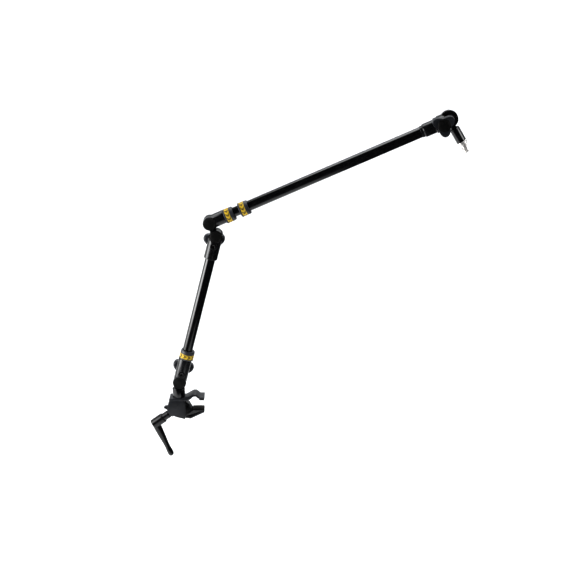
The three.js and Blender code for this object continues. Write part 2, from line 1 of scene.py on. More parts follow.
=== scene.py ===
# %% [markdown]
# # A desk-clamp boom arm for a microphone
# The real object is a black steel and cast-metal arm: a clamp that hooks over a table's edge, a
# short post, a lower tube, a double elbow, a telescopic boom and a tilting tip with a screw thread.
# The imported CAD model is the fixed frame. It could be shown as it is, but its round pieces have
# flat sides, so each one is made again here as a fine surface that rides on the same body.

import json
import math

import bmesh
import bpy
import numpy as np
from mathutils import Matrix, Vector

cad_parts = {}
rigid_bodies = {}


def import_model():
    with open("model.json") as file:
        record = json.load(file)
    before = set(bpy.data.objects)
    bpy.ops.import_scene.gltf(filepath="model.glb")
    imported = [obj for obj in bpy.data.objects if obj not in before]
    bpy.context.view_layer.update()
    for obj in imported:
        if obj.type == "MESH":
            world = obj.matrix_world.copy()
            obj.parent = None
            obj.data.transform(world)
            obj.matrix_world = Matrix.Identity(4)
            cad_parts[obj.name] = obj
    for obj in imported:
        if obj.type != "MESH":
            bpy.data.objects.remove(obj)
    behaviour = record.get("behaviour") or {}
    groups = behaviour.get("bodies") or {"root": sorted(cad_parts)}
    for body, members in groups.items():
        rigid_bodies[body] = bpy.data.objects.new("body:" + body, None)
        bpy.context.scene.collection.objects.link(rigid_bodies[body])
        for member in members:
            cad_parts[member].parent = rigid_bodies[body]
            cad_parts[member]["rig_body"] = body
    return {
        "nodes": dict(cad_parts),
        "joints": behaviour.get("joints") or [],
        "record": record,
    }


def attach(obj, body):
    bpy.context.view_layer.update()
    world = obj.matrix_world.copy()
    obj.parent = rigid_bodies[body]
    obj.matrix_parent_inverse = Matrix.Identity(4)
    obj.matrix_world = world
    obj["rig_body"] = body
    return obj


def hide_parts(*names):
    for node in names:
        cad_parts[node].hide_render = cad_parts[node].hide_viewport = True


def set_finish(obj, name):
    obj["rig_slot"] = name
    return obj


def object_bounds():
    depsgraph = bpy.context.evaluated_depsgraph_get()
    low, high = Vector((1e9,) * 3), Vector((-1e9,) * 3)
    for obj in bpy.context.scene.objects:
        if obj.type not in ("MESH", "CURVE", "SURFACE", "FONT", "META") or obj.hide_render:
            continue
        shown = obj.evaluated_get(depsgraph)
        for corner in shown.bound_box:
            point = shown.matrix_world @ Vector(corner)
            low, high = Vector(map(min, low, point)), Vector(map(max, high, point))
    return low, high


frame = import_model()
CAD_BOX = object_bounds()
JOINT = {joint["name"]: joint for joint in frame["joints"]}
MOUNT = {mount["name"]: mount for mount in frame["record"]["mounts"]}
SLOT = {row["node"]: row["material_slot"] for row in frame["record"]["subparts"]}
SLOT["base_pinch_bolt"] = SLOT["elbow_pinch_bolt"] = "lever_black"  # blackened screws

# %% [markdown]
# ## Where each piece lies
# A maker draws every piece in its own frame: Z along the tube, Y along the hinge pins. A piece
# could be turned into place with an object's rotation, but patterns and the export want its place
# in its mesh. So each frame is one matrix from millimetres on the piece to metres on the object,
# and the joints of the CAD model say where the frames stand.

# %% Frames of the pieces
MM = 0.001


def pivot(name):
    """The point of a joint in the row frame."""
    return np.array(JOINT[name]["pos_m"], float)


def stand(origin, direction=(0, 0, 1)):
    """Millimetres to metres: Z goes along the direction, Y stays, and X is Y crossed with Z."""
    z = np.array(direction, float) / np.linalg.norm(direction)
    y = np.array([0.0, 1.0, 0.0])
    matrix = np.eye(4)
    matrix[:3, :3] = np.stack([np.cross(y, z), y, z], 1) * MM
    matrix[:3, 3] = origin
    return Matrix(matrix)


BASE, ELBOW = pivot("base_tilt"), pivot("elbow_lower_tilt")
BOOM, TIP = pivot("elbow_upper_tilt"), pivot("tip_tilt")
POST_X, SWIVEL_Z = -2.5, 20
CLAMP_FRAME = stand(pivot("post_swivel") - np.array([POST_X, 0, SWIVEL_Z]) * MM)
SCREW_FRAME = stand(pivot("screw_turn"), JOINT["screw_turn"]["axis"])
LOWER_FRAME = stand(BASE, ELBOW - BASE)
ELBOW_FRAME = stand(ELBOW, BASE - ELBOW)
LINK_FRAME = stand(ELBOW, BOOM - ELBOW)
BOOM_FRAME = stand(BOOM, TIP - BOOM)
TIP_FORK_FRAME = stand(TIP, TIP - BOOM)
TIP_FRAME = stand(TIP, MOUNT["adapter_end"]["axis"])
LOWER_LENGTH = np.linalg.norm(ELBOW - BASE) / MM
LINK_LENGTH = np.linalg.norm(BOOM - ELBOW) / MM
BOOM_LENGTH = np.linalg.norm(TIP - BOOM) / MM
print("lengths in mm:", round(LOWER_LENGTH, 1), round(LINK_LENGTH, 1), round(BOOM_LENGTH, 1))

# %% [markdown]
# ## Surfaces from two parameters
# Nearly every piece of the arm is turned, sawn from plate or drilled. A turned piece is a profile
# carried round a circle, so it is one grid: a row for each profile point, a column for each angle.
# Corners get a small curve first, because no real edge is sharp and the curve catches the light.

# %% Profiles and grids
def rounded(points, reach, closed=False, steps=4):
    """Each corner becomes a short parabola that leaves the line `reach` before the corner."""
    p = np.array(points, float)
    before, after = np.roll(p, 1, 0) - p, np.roll(p, -1, 0) - p
    lengths = [np.maximum(np.linalg.norm(side, axis=1, keepdims=True), 1e-9)
               for side in (before, after)]
    start = p + before * np.minimum(reach / lengths[0], 0.45)
    end = p + after * np.minimum(reach / lengths[1], 0.45)
    t = np.linspace(0, 1, steps + 1)[None, :, None]
    curve = (1 - t) ** 2 * start[:, None] + 2 * t * (1 - t) * p[:, None] + t**2 * end[:, None]
    if closed:
        return curve.reshape(-1, 2)
    return np.concatenate([p[:1], curve[1:-1].reshape(-1, 2), p[-1:]])


def grid_faces(rows, columns, ring=False):
    """Quads between neighbouring rows; columns close on themselves, rows only on a ring."""
    row = np.arange(rows if ring else rows - 1)[:, None]
    column = np.arange(columns)[None, :]
    next_row, next_column = (row + 1) % rows, (column + 1) % columns
    corners = [row * columns + column, row * columns + next_column,
               next_row * columns + next_column, next_row * columns + column]
    return np.stack(np.broadcast_arrays(*corners), -1).reshape(-1, 4).tolist()


def turn(profile, sides=96, ring=False, outline=None, share=None, groove=None):
    """Radius and height of each profile row, carried round Z. An outline adds share times its own
    radius at that angle, and a groove takes away its depth at that angle and height."""
    p = np.array(profile, float)
    angle = np.linspace(0, 2 * np.pi, sides, endpoint=False)[None, :]
    radius = np.repeat(p[:, :1], sides, 1)
    if outline is not None:
        radius = radius + np.array(share, float)[:, None] * outline(angle)
    height = np.repeat(p[:, 1:2], sides, 1)
    if groove is not None:
        radius = radius - groove(angle, height, radius)
    points = np.stack([radius * np.cos(angle), radius * np.sin(angle), height], -1)
    return points.reshape(-1, 3), grid_faces(len(p), sides, ring)


def across(shape, y, x=0.0, z=0.0, side=1):
    """Lays a piece turned about Z along Y, from the height y outwards to the given side."""
    points, faces = shape
    laid = np.stack([points[:, 0], side * (points[:, 2] + y), points[:, 1]], 1)
    return laid + [x, 0, z], faces


def moved(shape, x=0.0, y=0.0, z=0.0):
    """The shape, pushed along the axes of its frame."""
    return shape[0] + [x, y, z], shape[1]


print("a rounded square has", len(rounded([(0, 0), (4, 0), (4, 4), (0, 4)], 1, True)), "points")

# %% Plates, bricks and rods
def slab(outline, y0, y1, edge=0.7, soften=1.2):
    """An XZ outline carried along Y; near both faces it draws in along a quarter circle."""
    flat = rounded(outline, soften, closed=True)
    along = np.roll(flat, -1, 0) - np.roll(flat, 1, 0)
    along = along / np.maximum(np.linalg.norm(along, axis=1, keepdims=True), 1e-9)
    following = np.roll(flat, -1, 0)
    area = np.sum(flat[:, 0] * following[:, 1] - following[:, 0] * flat[:, 1])
    inward = np.stack([-along[:, 1], along[:, 0]], 1) * np.sign(area)
    quarter = np.linspace(0, np.pi / 2, 4)
    inset = edge * (1 - np.sin(quarter))
    rise = edge * (1 - np.cos(quarter))
    insets = np.concatenate([inset, inset[::-1]])[:, None, None]
    heights = np.concatenate([y0 + rise, y1 - rise[::-1]])
    rows = flat[None] + insets * inward[None]
    count = len(flat)
    levels = np.repeat(heights[:, None], count, 1)
    points = np.stack([rows[..., 0], levels, rows[..., 1]], -1).reshape(-1, 3)
    lids = [list(range(count)), list(range(len(points) - count, len(points)))]
    return points, grid_faces(len(heights), count) + lids


def brick(x0, x1, y0, y1, z0, z1):
    """A plain block for sawing slots and flats."""
    return slab([(x0, z0), (x1, z0), (x1, z1), (x0, z1)], y0, y1, edge=1e-3, soften=1e-3)


def rod(radius, z0, z1, edge=0.0, sides=96):
    """A round bar along Z, with its ends eased by the edge."""
    profile = [(0, z0), (radius, z0), (radius, z1), (0, z1)]
    return turn(rounded(profile, edge) if edge else profile, sides)


def rod_y(radius, y0, y1, x=0.0, z=0.0, edge=0.0, sides=96):
    """A round bar along Y through the point (x, z)."""
    return across(rod(radius, y0, y1, edge, sides), 0, x, z)


print("one rod has", len(rod(5, 0, 10)[1]), "faces")

# %% [markdown]
# ## From shapes to finished pieces
# A forked knuckle is a turned blank that was milled and drilled. It could be one clever surface,
# but the cuts meet at odd curves, so here the blank and the tools are separate grids and a Boolean
# modifier does the milling. A Bevel modifier then breaks the new edges, as a file would. Last,
# each point stores how sharply the surface bends there, which the paints use for worn edges.

# %% Joining, cutting and edging
def as_object(name, shape):
    """A mesh object from points and faces: doubles are merged and the faces turned outwards."""
    mesh = bpy.data.meshes.new(name)
    mesh.from_pydata(np.asarray(shape[0]).tolist(), [], shape[1])
    work = bmesh.new()
    work.from_mesh(mesh)
    bmesh.ops.remove_doubles(work, verts=work.verts, dist=1e-4)
    bmesh.ops.dissolve_degenerate(work, edges=work.edges, dist=1e-5)
    bmesh.ops.recalc_face_normals(work, faces=work.faces)
    work.to_mesh(mesh)
    work.free()
    thing = bpy.data.objects.new(name, mesh)
    bpy.context.scene.collection.objects.link(thing)
    return thing


def settle(thing):
    """Makes what the modifiers show the mesh itself."""
    bpy.context.view_layer.update()
    evaluated = thing.evaluated_get(bpy.context.evaluated_depsgraph_get())
    mesh = bpy.data.meshes.new_from_object(evaluated)
    thing.modifiers.clear()
    thing.data = mesh
    return thing


def milled(blank, joined=(), sawn=(), edge=0.45):
    """The blank with other shapes joined on and tools cut out of it, then its edges broken."""
    thing = as_object("blank", blank)
    for operation, shapes in (("UNION", joined), ("DIFFERENCE", sawn)):
        for shape in shapes:
            tool = as_object("tool", shape)
            step = thing.modifiers.new("mill", "BOOLEAN")
            step.operation, step.object, step.solver = operation, tool, "MANIFOLD"
            settle(thing)
            bpy.data.objects.remove(tool)
    if edge:
        bevel = thing.modifiers.new("edge", "BEVEL")
        bevel.width, bevel.segments, bevel.angle_limit = edge, 2, math.radians(34)
        settle(thing)
    return thing


def bend_at_points(mesh):
    """How sharply the surface bends out at each point, per millimetre: along every edge, the
    change of the normal over the edge's length, averaged at the edge's two ends."""
    count = len(mesh.vertices)
    place, normal = np.zeros(count * 3), np.zeros(count * 3)
    mesh.vertices.foreach_get("co", place)
    mesh.vertex_normals.foreach_get("vector", normal)
    place, normal = place.reshape(-1, 3), normal.reshape(-1, 3)
    ends = np.zeros(len(mesh.edges) * 2, int)
    mesh.edges.foreach_get("vertices", ends)
    a, b = ends.reshape(-1, 2).T
    step = place[b] - place[a]
    bend = np.sum((normal[b] - normal[a]) * step, 1) / np.maximum(np.sum(step**2, 1), 1e-6)
    total = np.bincount(a, bend, count) + np.bincount(b, bend, count)
    share = np.bincount(a, minlength=count) + np.bincount(b, minlength=count)
    return total / np.maximum(share, 1)


MADE = []


def install(node, piece, place):
    """Puts a fine piece where its CAD node is: same body, same material slot, place in the mesh."""
    thing = piece if isinstance(piece, bpy.types.Object) else as_object(node, piece)
    thing.name = thing.data.name = node + "_fine"
    mesh = thing.data
    rim = mesh.attributes.new("rim", "FLOAT", "POINT")
    rim.data.foreach_set("value", np.clip(bend_at_points(mesh), 0, 2).astype(np.float32))
    mesh.transform(place)
    mesh.shade_smooth()
    mesh.set_sharp_from_angle(angle=math.radians(38))
    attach(thing, frame["nodes"][node]["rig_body"])
    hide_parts(node)
    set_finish(thing, SLOT[node])
    MADE.append(thing)
    return thing


print("ready to make pieces for", len(SLOT), "nodes")

# %% [markdown]
# ## Tubes
# The arm is drawn steel tube with a deep gloss lacquer. A tube could be a cylinder with a Solidify
# modifier; carrying its wall's section round the axis gives wall, bore and soft ends at once.

# %% The four tubes
LOWER_RADIUS, INNER_RADIUS, OUTER_RADIUS, STUB_RADIUS = 11.35, 11.0, 11.8, 11.0
INNER_END = 400
OUTER_START, OUTER_END = 84, BOOM_LENGTH - 45
STUB_START, STUB_END = 24.8, 54.5


def tube(radius, bore, z0, z1):
    """The wall's rectangle with eased corners, carried round Z."""
    wall = rounded([(bore, z0), (radius, z0), (radius, z1), (bore, z1)], 0.5, closed=True)
    return turn(wall, sides=128, ring=True)


install("lower_tube", tube(LOWER_RADIUS, 9.85, 40, LOWER_LENGTH - 40), LOWER_FRAME)
install("inner_tube", tube(INNER_RADIUS, 9.5, 25, INNER_END), BOOM_FRAME)
install("outer_tube", tube(OUTER_RADIUS, 11.25, OUTER_START, OUTER_END), BOOM_FRAME)
install("stub_tube", tube(STUB_RADIUS, 9.6, STUB_START, STUB_END), TIP_FRAME)
print("tubes:", [thing.name for thing in MADE])

# %% [markdown]
# ## Forked knuckles
# Each hinge is a cast fork that grips a flat tongue. Outside it is a round sleeve whose two cheeks
# are milled flat; a slit and a pair of bosses let the pinch bolt draw the cheeks together.

# %% Forks of the base, the elbow and the boom
FORK_RADIUS, NECK_RADIUS, CHEEK, TONGUE = 15.2, 12.8, 13.0, 6.0
PINCH, BOSS_FACE, PIN_RADIUS, BOLT_RADIUS = 22.0, 15.8, 4.0, 3.5


def fork(length, neck, tube_radius, insert, pinched=True):
    """The sleeve's turned blank and a round head across it, then the cuts in milling order."""
    end = length + neck
    blank = [(0, 0), (FORK_RADIUS, 0), (FORK_RADIUS, length), (NECK_RADIUS, length),
             (NECK_RADIUS, end), (0, end)]
    if not neck:
        blank = [(0, 0), (FORK_RADIUS, 0), (FORK_RADIUS, length), (0, length)]
    head = rod_y(FORK_RADIUS, -FORK_RADIUS, FORK_RADIUS)
    boss = [rod_y(8, -BOSS_FACE, BOSS_FACE, z=PINCH, edge=0.8)] if pinched else []
    cuts = [
        rod_y(FORK_RADIUS + 0.4, -TONGUE - 0.3, TONGUE + 0.3),
        brick(-20, 20, -TONGUE - 0.3, TONGUE + 0.3, -20, 8.3),
        rod_y(PIN_RADIUS + 0.4, -20, 20, sides=48),
        rod(tube_radius + 0.4, insert, end + 1),
        brick(-30, 30, -20, -CHEEK, -20, 13.5),
        brick(-30, 30, CHEEK, 20, -20, 13.5),
    ]
    if pinched:
        cuts += [
            brick(-20, 20, -1.5, 1.5, 0, 35),
            rod_y(BOLT_RADIUS + 0.4, -20, 20, z=PINCH, sides=48),
            rod_y(6.4, -20, -10.2, z=PINCH),
        ]
    return milled(turn(rounded(blank, 0.9)), [head] + boss, cuts)


install("base_fork", fork(57, 10, LOWER_RADIUS, 39), LOWER_FRAME)
install("elbow_fork", fork(54.6, 0, LOWER_RADIUS, 39), ELBOW_FRAME)
install("boom_fork", fork(36.3, 10, INNER_RADIUS, 24, pinched=False), BOOM_FRAME)
print("forks:", [(t.name, len(t.data.polygons)) for t in MADE[-3:]])

# %% [markdown]
# ## Caps, pins and socket bolts
# Round plastic caps hide the ends of the hinge pins. The pinch bolts have a hexagon socket, which
# is a hexagon at the bottom and a circle at the rim; one grid can change from one to the other
# when each row says how much of a hexagon's outline it takes.

# %% Hinge caps and pins
def hexagon(flats):
    """Radius of a hexagon at each angle: half its flats over the cosine from the nearest flat."""
    return lambda angle: flats / 2 / np.cos((angle + np.pi / 6) % (np.pi / 3) - np.pi / 6)


def round_cap(radius, thickness):
    """A shallow disc with a turned ring near its rim and a slightly proud middle."""
    profile = [(0, 0), (radius, 0), (radius, 0.6 * thickness), (radius - 1, thickness),
               (radius - 2.4, thickness), (radius - 2.7, thickness - 0.5),
               (radius - 3.5, thickness - 0.5), (radius - 3.8, thickness), (0, thickness)]
    return turn(rounded(profile, 0.3, steps=3))


for hinge, place in (("base", LOWER_FRAME), ("elbow", ELBOW_FRAME), ("boom", BOOM_FRAME)):
    install(hinge + "_hinge_pin", rod_y(PIN_RADIUS, -12.8, 12.8, edge=0.5), place)
    for end, side in (("front", -1), ("rear", 1)):
        install(f"{hinge}_cap_{end}", across(round_cap(13.5, 2.6), 13.3, side=side), place)
print("caps and pins made:", len(MADE))

# %% Socket bolts
def socket_bolt(head, length, thread_from):
    """From the shank's tip up to the head, over its rim and down into the hexagon socket. The
    thread is a saw wave of angle and height, cut 0.45 mm deep into the shank's far part."""
    pitch = 1.25
    shank = np.arange(0, length - 4.7, pitch / 6)
    rows = [(0, 0, 0), (2.6, 0, 0)] + [(BOLT_RADIUS, h, 0) for h in shank[2:]]
    rows += [(BOLT_RADIUS, length - 4.7, 0), (head - 0.3, length - 4.7, 0), (head, length - 4.4, 0),
             (head, length - 0.8, 0), (head - 0.25, length - 0.25, 0), (head - 0.8, length, 0),
             (3.6, length, 0), (0, length - 0.5, 1), (0, length - 3, 1), (0, length - 3, 0)]
    table = np.array(rows, float)

    def groove(angle, height, radius):
        wave = np.abs(((height / pitch - angle / (2 * np.pi)) % 1) * 2 - 1)
        cut = (height > 0.5) & (height < thread_from) & (radius > 3) & (radius < 3.8)
        return 0.45 * wave * cut

    return turn(table[:, :2], 60, outline=hexagon(5.2), share=table[:, 2], groove=groove)


BOLT_LENGTH = 2 * BOSS_FACE + 11.5
for hinge, place in (("base", LOWER_FRAME), ("elbow", ELBOW_FRAME)):
    bolt = across(socket_bolt(6.0, BOLT_LENGTH, 22), -BOSS_FACE - 12, z=PINCH, side=-1)
    install(hinge + "_pinch_bolt", bolt, place)
print("bolts are", BOLT_LENGTH, "mm long")

# %% [markdown]
# ## Three-lobed knobs
# The friction of each hinge is set with a moulded knob of three lobes. A cylinder with dents would
# look like a gear; the real outline is a circle whose radius swells and sinks three times a turn.

# %% Knobs and their caps
KNOB_MEAN, KNOB_LOBE, KNOB_THICKNESS = 21.3, 5.2, 17.0


def knob_body(turned_by):
    """From the bore's end over the near face, round the lobed side and down into the cap's seat.
    A row's third number is 1 where it follows the lobes and 0 where it is a plain circle."""
    rows = np.array([
        (0, 13, 0), (3.9, 13, 0), (3.9, 0.3, 0), (4.2, 0, 0), (9.5, 0, 0), (9.8, -0.0, 0),
        (-5.5, 0.2, 1), (-2.5, 1.0, 1), (-0.9, 2.3, 1), (-0.15, 4.5, 1), (0, 7.5, 1), (0, 9.5, 1),
        (-0.1, 12, 1), (-0.35, 14.3, 1), (-0.7, 15.9, 1), (-0.78, 16.7, 1), (-0.79, 16.95, 1),
        (15.3, 17, 0), (14.8, 16.8, 0), (14.6, 16.4, 0), (14.6, 15.2, 0), (0, 15.2, 0),
    ], float)
    swell = 3

    def lobes(angle):
        return KNOB_MEAN + KNOB_LOBE * np.cos(swell * (angle - turned_by))

    return turn(rows[:, :2], 144, outline=lobes, share=rows[:, 2])


def knob_cap():
    """A domed disc with a turned ring, seated in the knob."""
    return turn(rounded([(0, 0), (14.2, 0), (14.2, 1.5), (12.8, 2.5), (11.6, 2.65), (11.3, 2.2),
                         (10.5, 2.2), (10.2, 2.75), (0, 3.2)], 0.35, steps=3))


KNOBS = (("base", LOWER_FRAME, 1, 16.1, PINCH, 29), ("elbow", ELBOW_FRAME, 1, 16.1, PINCH, 104),
         ("tip", TIP_FORK_FRAME, -1, 17.3, -15.5, -14))
for name, place, side, face, z, degrees in KNOBS:
    body = across(knob_body(math.radians(degrees)), face, z=z, side=side)
    install(name + "_knob", body, place)
    seat = face + KNOB_THICKNESS - 1.8 + 0.3
    install(name + "_knob_cap", across(knob_cap(), seat, z=z, side=side), place)
print("knobs:", [row[0] for row in KNOBS])

# %% [markdown]
# ## Grip collars and their yellow bands
# Plastic collars clamp the tubes in their forks and lock the telescope. Their grip is a little
# off the tube's axis, so it is turned about its own axis and the bore is cut through it. The band
# is a ring let into the grip.

# %% Collars and bands
COLLAR_LENGTH, COLLAR_OFFSET = 22.0, 1.4
BAND_FROM, BAND_TO = 3.6, 14.2
COLLARS = (
    ("base", LOWER_FRAME, 57.3, [(13.2, 11.5), (11.85, 24)]),
    ("boom", BOOM_FRAME, 36.6, [(13.2, 11.5), (11.5, 24)]),
    ("clutch", BOOM_FRAME, 73.0, [(11.4, 2), (13.1, 12.5), (12.2, 24)]),
)


def collar(z0, bores):
    """The grip's profile with a seat for the band, and a bore in steps of [radius, height]."""
    grip = [(0, 0), (15.5, 0), (16.4, 0.7), (16.6, 1.6), (16.6, BAND_FROM), (15.2, BAND_FROM),
            (15.2, BAND_TO), (16.2, BAND_TO), (16.1, 17), (15.8, 20.6), (15.1, 22), (0, 22)]
    blank = moved(turn(rounded(grip, 0.35, steps=3), 128), COLLAR_OFFSET, 0, z0)
    starts = [-1] + [height for _, height in bores[:-1]]
    holes = [rod(radius, z0 + low - (0.01 if low > 0 else 0), z0 + high, sides=128)
             for (radius, high), low in zip(bores, starts)]
    return milled(blank, [], holes, edge=0.3)


def band(z0):
    """A crowned ring: highest in the middle, with eased edges."""
    low, high = BAND_FROM + 0.3, BAND_TO - 0.3
    middle = (low + high) / 2
    wall = [(15.6, low), (16.15, low), (16.3, middle), (16.15, high), (15.6, high)]
    return moved(turn(rounded(wall, 0.3, True), 128, ring=True), COLLAR_OFFSET, 0, z0)


for name, place, z0, bores in COLLARS:
    install("clutch_collar" if name == "clutch" else name + "_collar", collar(z0, bores), place)
    install(name + "_band", band(z0), place)
print("collars are", COLLAR_LENGTH, "mm long")

# %% [markdown]
# ## The nylon collet
# Inside the clutch collar a split ring is squeezed on to the inner tube. A ring with a gap is the
# same section carried round less than a full turn; sawing the gap out of a whole ring is simpler.

# %% Collet
COLLET_FROM, COLLET_TO = 75.5, 83.6
collet_wall = [(11.4, COLLET_FROM), (12.0, COLLET_FROM), (12.7, COLLET_FROM + 2),
               (12.7, COLLET_TO), (11.4, COLLET_TO)]
collet = milled(turn(collet_wall, 96, ring=True), [],
                [brick(0, 20, -1.5, 1.5, COLLET_FROM - 1, COLLET_TO + 1)], edge=0.2)
install("boom_collet", collet, BOOM_FRAME)
print("collet wall in mm:", 12.7 - 11.4)

# %% [markdown]
# ## The double elbow's link and the post
# The link is a flat casting with an eye at both ends. The post is a turned column that swivels on
# a stud and ends in the tongue of the base hinge.

# %% Link, post and stud
WAIST = 7.5


def link():
    """Two eyes joined by a web whose edges are waisted; the eyes' holes take the hinge pins."""
    radius = FORK_RADIUS - 0.4
    eye = lambda z: rod_y(radius, -TONGUE, TONGUE, z=z, edge=0.8)
    web = slab([(-WAIST - 2, 8), (WAIST + 2, 8), (WAIST, LINK_LENGTH / 2),
                (WAIST + 2, LINK_LENGTH - 8), (-WAIST - 2, LINK_LENGTH - 8),
                (-WAIST, LINK_LENGTH / 2)], -TONGUE + 0.4, TONGUE - 0.4, soften=3)
    holes = [rod_y(PIN_RADIUS + 0.4, -20, 20, z=z, sides=48) for z in (0, LINK_LENGTH)]
    return milled(eye(0), [eye(LINK_LENGTH), web], holes, edge=0.3)


def post():
    """The column with a turned foot line, the tongue above it and the stud's bore below."""
    hinge_x, hinge_z, foot = 0.5, 46.0, 8.8
    radius = 14.4
    column = [(0, foot), (radius, foot), (radius, 29), (radius - 1.4, 30.2), (0, 30.2)]
    blank = moved(turn(rounded(column, 0.7), 128), POST_X)
    neck = slab([(-11, 26), (11, 26), (11.6, 42), (-10.6, 42)], -TONGUE, TONGUE)
    tongue = rod_y(FORK_RADIUS - 0.4, -TONGUE, TONGUE, hinge_x, hinge_z, edge=0.8)
    bore = moved(rod(5.4, foot - 2, 22.5, sides=48), POST_X)
    hole = rod_y(PIN_RADIUS + 0.4, -20, 20, hinge_x, hinge_z, sides=48)
    return milled(blank, [neck, tongue], [bore, hole], edge=0.3)


stud_profile = [(0, -4.4), (7, -4.4), (8, -3.4), (8, 8.5), (5, 8.5), (5, 21.5), (0, 21.5)]
install("elbow_link", link(), LINK_FRAME)
install("post", post(), CLAMP_FRAME)
install("post_stud", moved(turn(rounded(stud_profile, 0.4)), POST_X), CLAMP_FRAME)
print("link length in mm:", round(LINK_LENGTH, 1))

# %% [markdown]
# ## The clamp's casting
# A sand or die casting has walls of even thickness, rounded edges and ribs. It is built from
# plates that are drawn from the side, because that is how its shape reads: a hook over the table,
# two cheeks beside the moving jaw, a wall across the back and a boss for the screw.

# %% Hook, cheeks and back wall
SCREW_Z = -16.0
SCREW_LEAN = math.atan2(JOINT["screw_turn"]["axis"][0], JOINT["screw_turn"]["axis"][2])
PAD_LOW, PAD_HIGH = 4.1, 7.6
HOOK_HALF, CHEEK_HALF, CHANNEL_HALF = 16.8, 16.2, 11
LEDGE_LOW, LEDGE_TOP = 2.5, 8.5


def along_screw(s, height):
    """A point of the clamp's XZ plane from its place along the screw and its height above it."""
    sin, cos = math.sin(SCREW_LEAN), math.cos(SCREW_LEAN)
    return sin * s - cos * height, SCREW_Z + cos * s + sin * height


def on_screw(shape):
    """A shape drawn along Z, laid on the screw's axis in the clamp's frame."""
    sin, cos = math.sin(SCREW_LEAN), math.cos(SCREW_LEAN)
    x, y, z = shape[0].T
    return np.stack([cos * x + sin * z, y, SCREW_Z - sin * x + cos * z], 1), shape[1]


def clamp_casting():
    """Plates and rounds joined, then the holes for the screw, the stud and its set screw."""
    foot = PAD_HIGH + 0.3
    hook = slab([(-23.8, LEDGE_LOW), (17, LEDGE_LOW), (26, 7.6), (31, 13.4), (37, 13.8),
                 (44.5, foot), (57, foot), (57, 11.6), (46.5, 11.6), (38.5, 18.8), (31, 18.8),
                 (14, LEDGE_TOP), (-23.8, LEDGE_TOP)], -HOOK_HALF, HOOK_HALF, 0.9, 1.6)
    side = [(-23.4, LEDGE_LOW + 1), (-27.2, -5), (-28.5, -18), (-27, -28.4), (-9.3, -37.4),
            (12, -43), (14, -24), (13, -3), (9, LEDGE_LOW + 1)]
    cheeks = [slab(side, low, low + CHEEK_HALF - CHANNEL_HALF, 0.9, 2.0)
              for low in (-CHEEK_HALF, CHANNEL_HALF)]
    wall = slab([(-23, LEDGE_LOW + 1), (-26.7, -5), (-28, -18), (-26.5, -28.2), (-16.5, -33.4),
                 along_screw(-23, -5), along_screw(-23, 9.5), (-21, -6), (-19, LEDGE_LOW + 1)],
                -CHANNEL_HALF - 1, CHANNEL_HALF + 1)
    hood = slab([(-26, -14), (-37.5, -17), (-38.3, -20.5), (-33, -22), (-29.5, -26), (-26, -26)],
                -5, 5, 0.9)
    boss = on_screw(rod(10.5, -30, -22.5, 0.8))
    socket = moved(rod(10.6, -3.2, LEDGE_LOW + 1), POST_X)
    holes = [on_screw(rod(5.5, -38, -15, sides=64)), moved(rod(8.5, -6, LEDGE_TOP + 1), POST_X)]
    drill = rod(3.4, -40, POST_X - 6, sides=48)
    lock = (drill[0][:, [2, 1, 0]] + [0, 0, -0.6], drill[1])
    return milled(hook, cheeks + [wall, hood, boss, socket], holes + [lock], edge=0.5)


install("clamp_body", clamp_casting(), CLAMP_FRAME)
print("casting faces:", len(MADE[-1].data.polygons))

# %% Moving jaw, pads and set screw
JAW_PAD_TOP = PAD_LOW - 22
JAW_SEAT = JAW_PAD_TOP - 2.8


def jaw():
    """One thick plate with the jaw's outline, hollowed by a blind hole for the screw."""
    outline = [along_screw(-2, 6.5), (0.6, -7.6), (9.5, -7.6), (11.5, -2.2), (13.5, -1.4),
               (22, -8), (29, JAW_SEAT), (56.5, JAW_SEAT), (56.5, -28), (24, -44), (8, -41.5),
               along_screw(-2, -14)]
    plate = slab(outline, -CHANNEL_HALF + 0.5, CHANNEL_HALF - 0.5, 1.0, 1.6)
    rib = [(30, -25.5), (50, -25.5), (27, -38), (14, -38)]
    pockets = [slab(rib, low, low + 4, 0.4, 2.0) for low in (-CHANNEL_HALF - 1, CHANNEL_HALF - 3)]
    return milled(plate, [], [on_screw(rod(5.5, -10, 7, sides=64))] + pockets, edge=0.4)


def ribbed_pad(x0, x1, low, high, half, ribs_down):
    """A rubber block whose gripping face has grooves across it, 0.5 mm deep every 2.4 mm."""
    edges = np.arange(x0 + 1.6, x1 - 2.2, 2.4)
    face, depth = (low, 0.5) if ribs_down else (high, -0.5)
    steps = [(edges, face), (edges + 0.25, face + depth), (edges + 0.95, face + depth),
             (edges + 1.2, face)]
    ribs = np.stack([np.stack(np.broadcast_arrays(x, z), -1) for x, z in steps], 1).reshape(-1, 2)
    other = high if ribs_down else low
    outline = np.concatenate([[(x0, face)], ribs, [(x1, face), (x1, other), (x0, other)]])
    return slab(outline, -half, half, 0.3, 0.2)


def set_screw(x0, x1):
    """A headless screw with a hexagon socket, along X."""
    rows = np.array([(0, 0, 0), (2.4, 0, 0), (3, 0.6, 0), (3, x1 - x0 - 0.5, 0),
                     (2.5, x1 - x0, 0), (0, x1 - x0 - 0.1, 1), (0, x1 - x0 - 3, 1),
                     (0, x1 - x0 - 3, 0)], float)
    points, faces = turn(rows[:, :2], 48, outline=hexagon(2.8), share=rows[:, 2])
    return np.stack([x1 - points[:, 2], points[:, 1], points[:, 0] - 0.6], 1), faces


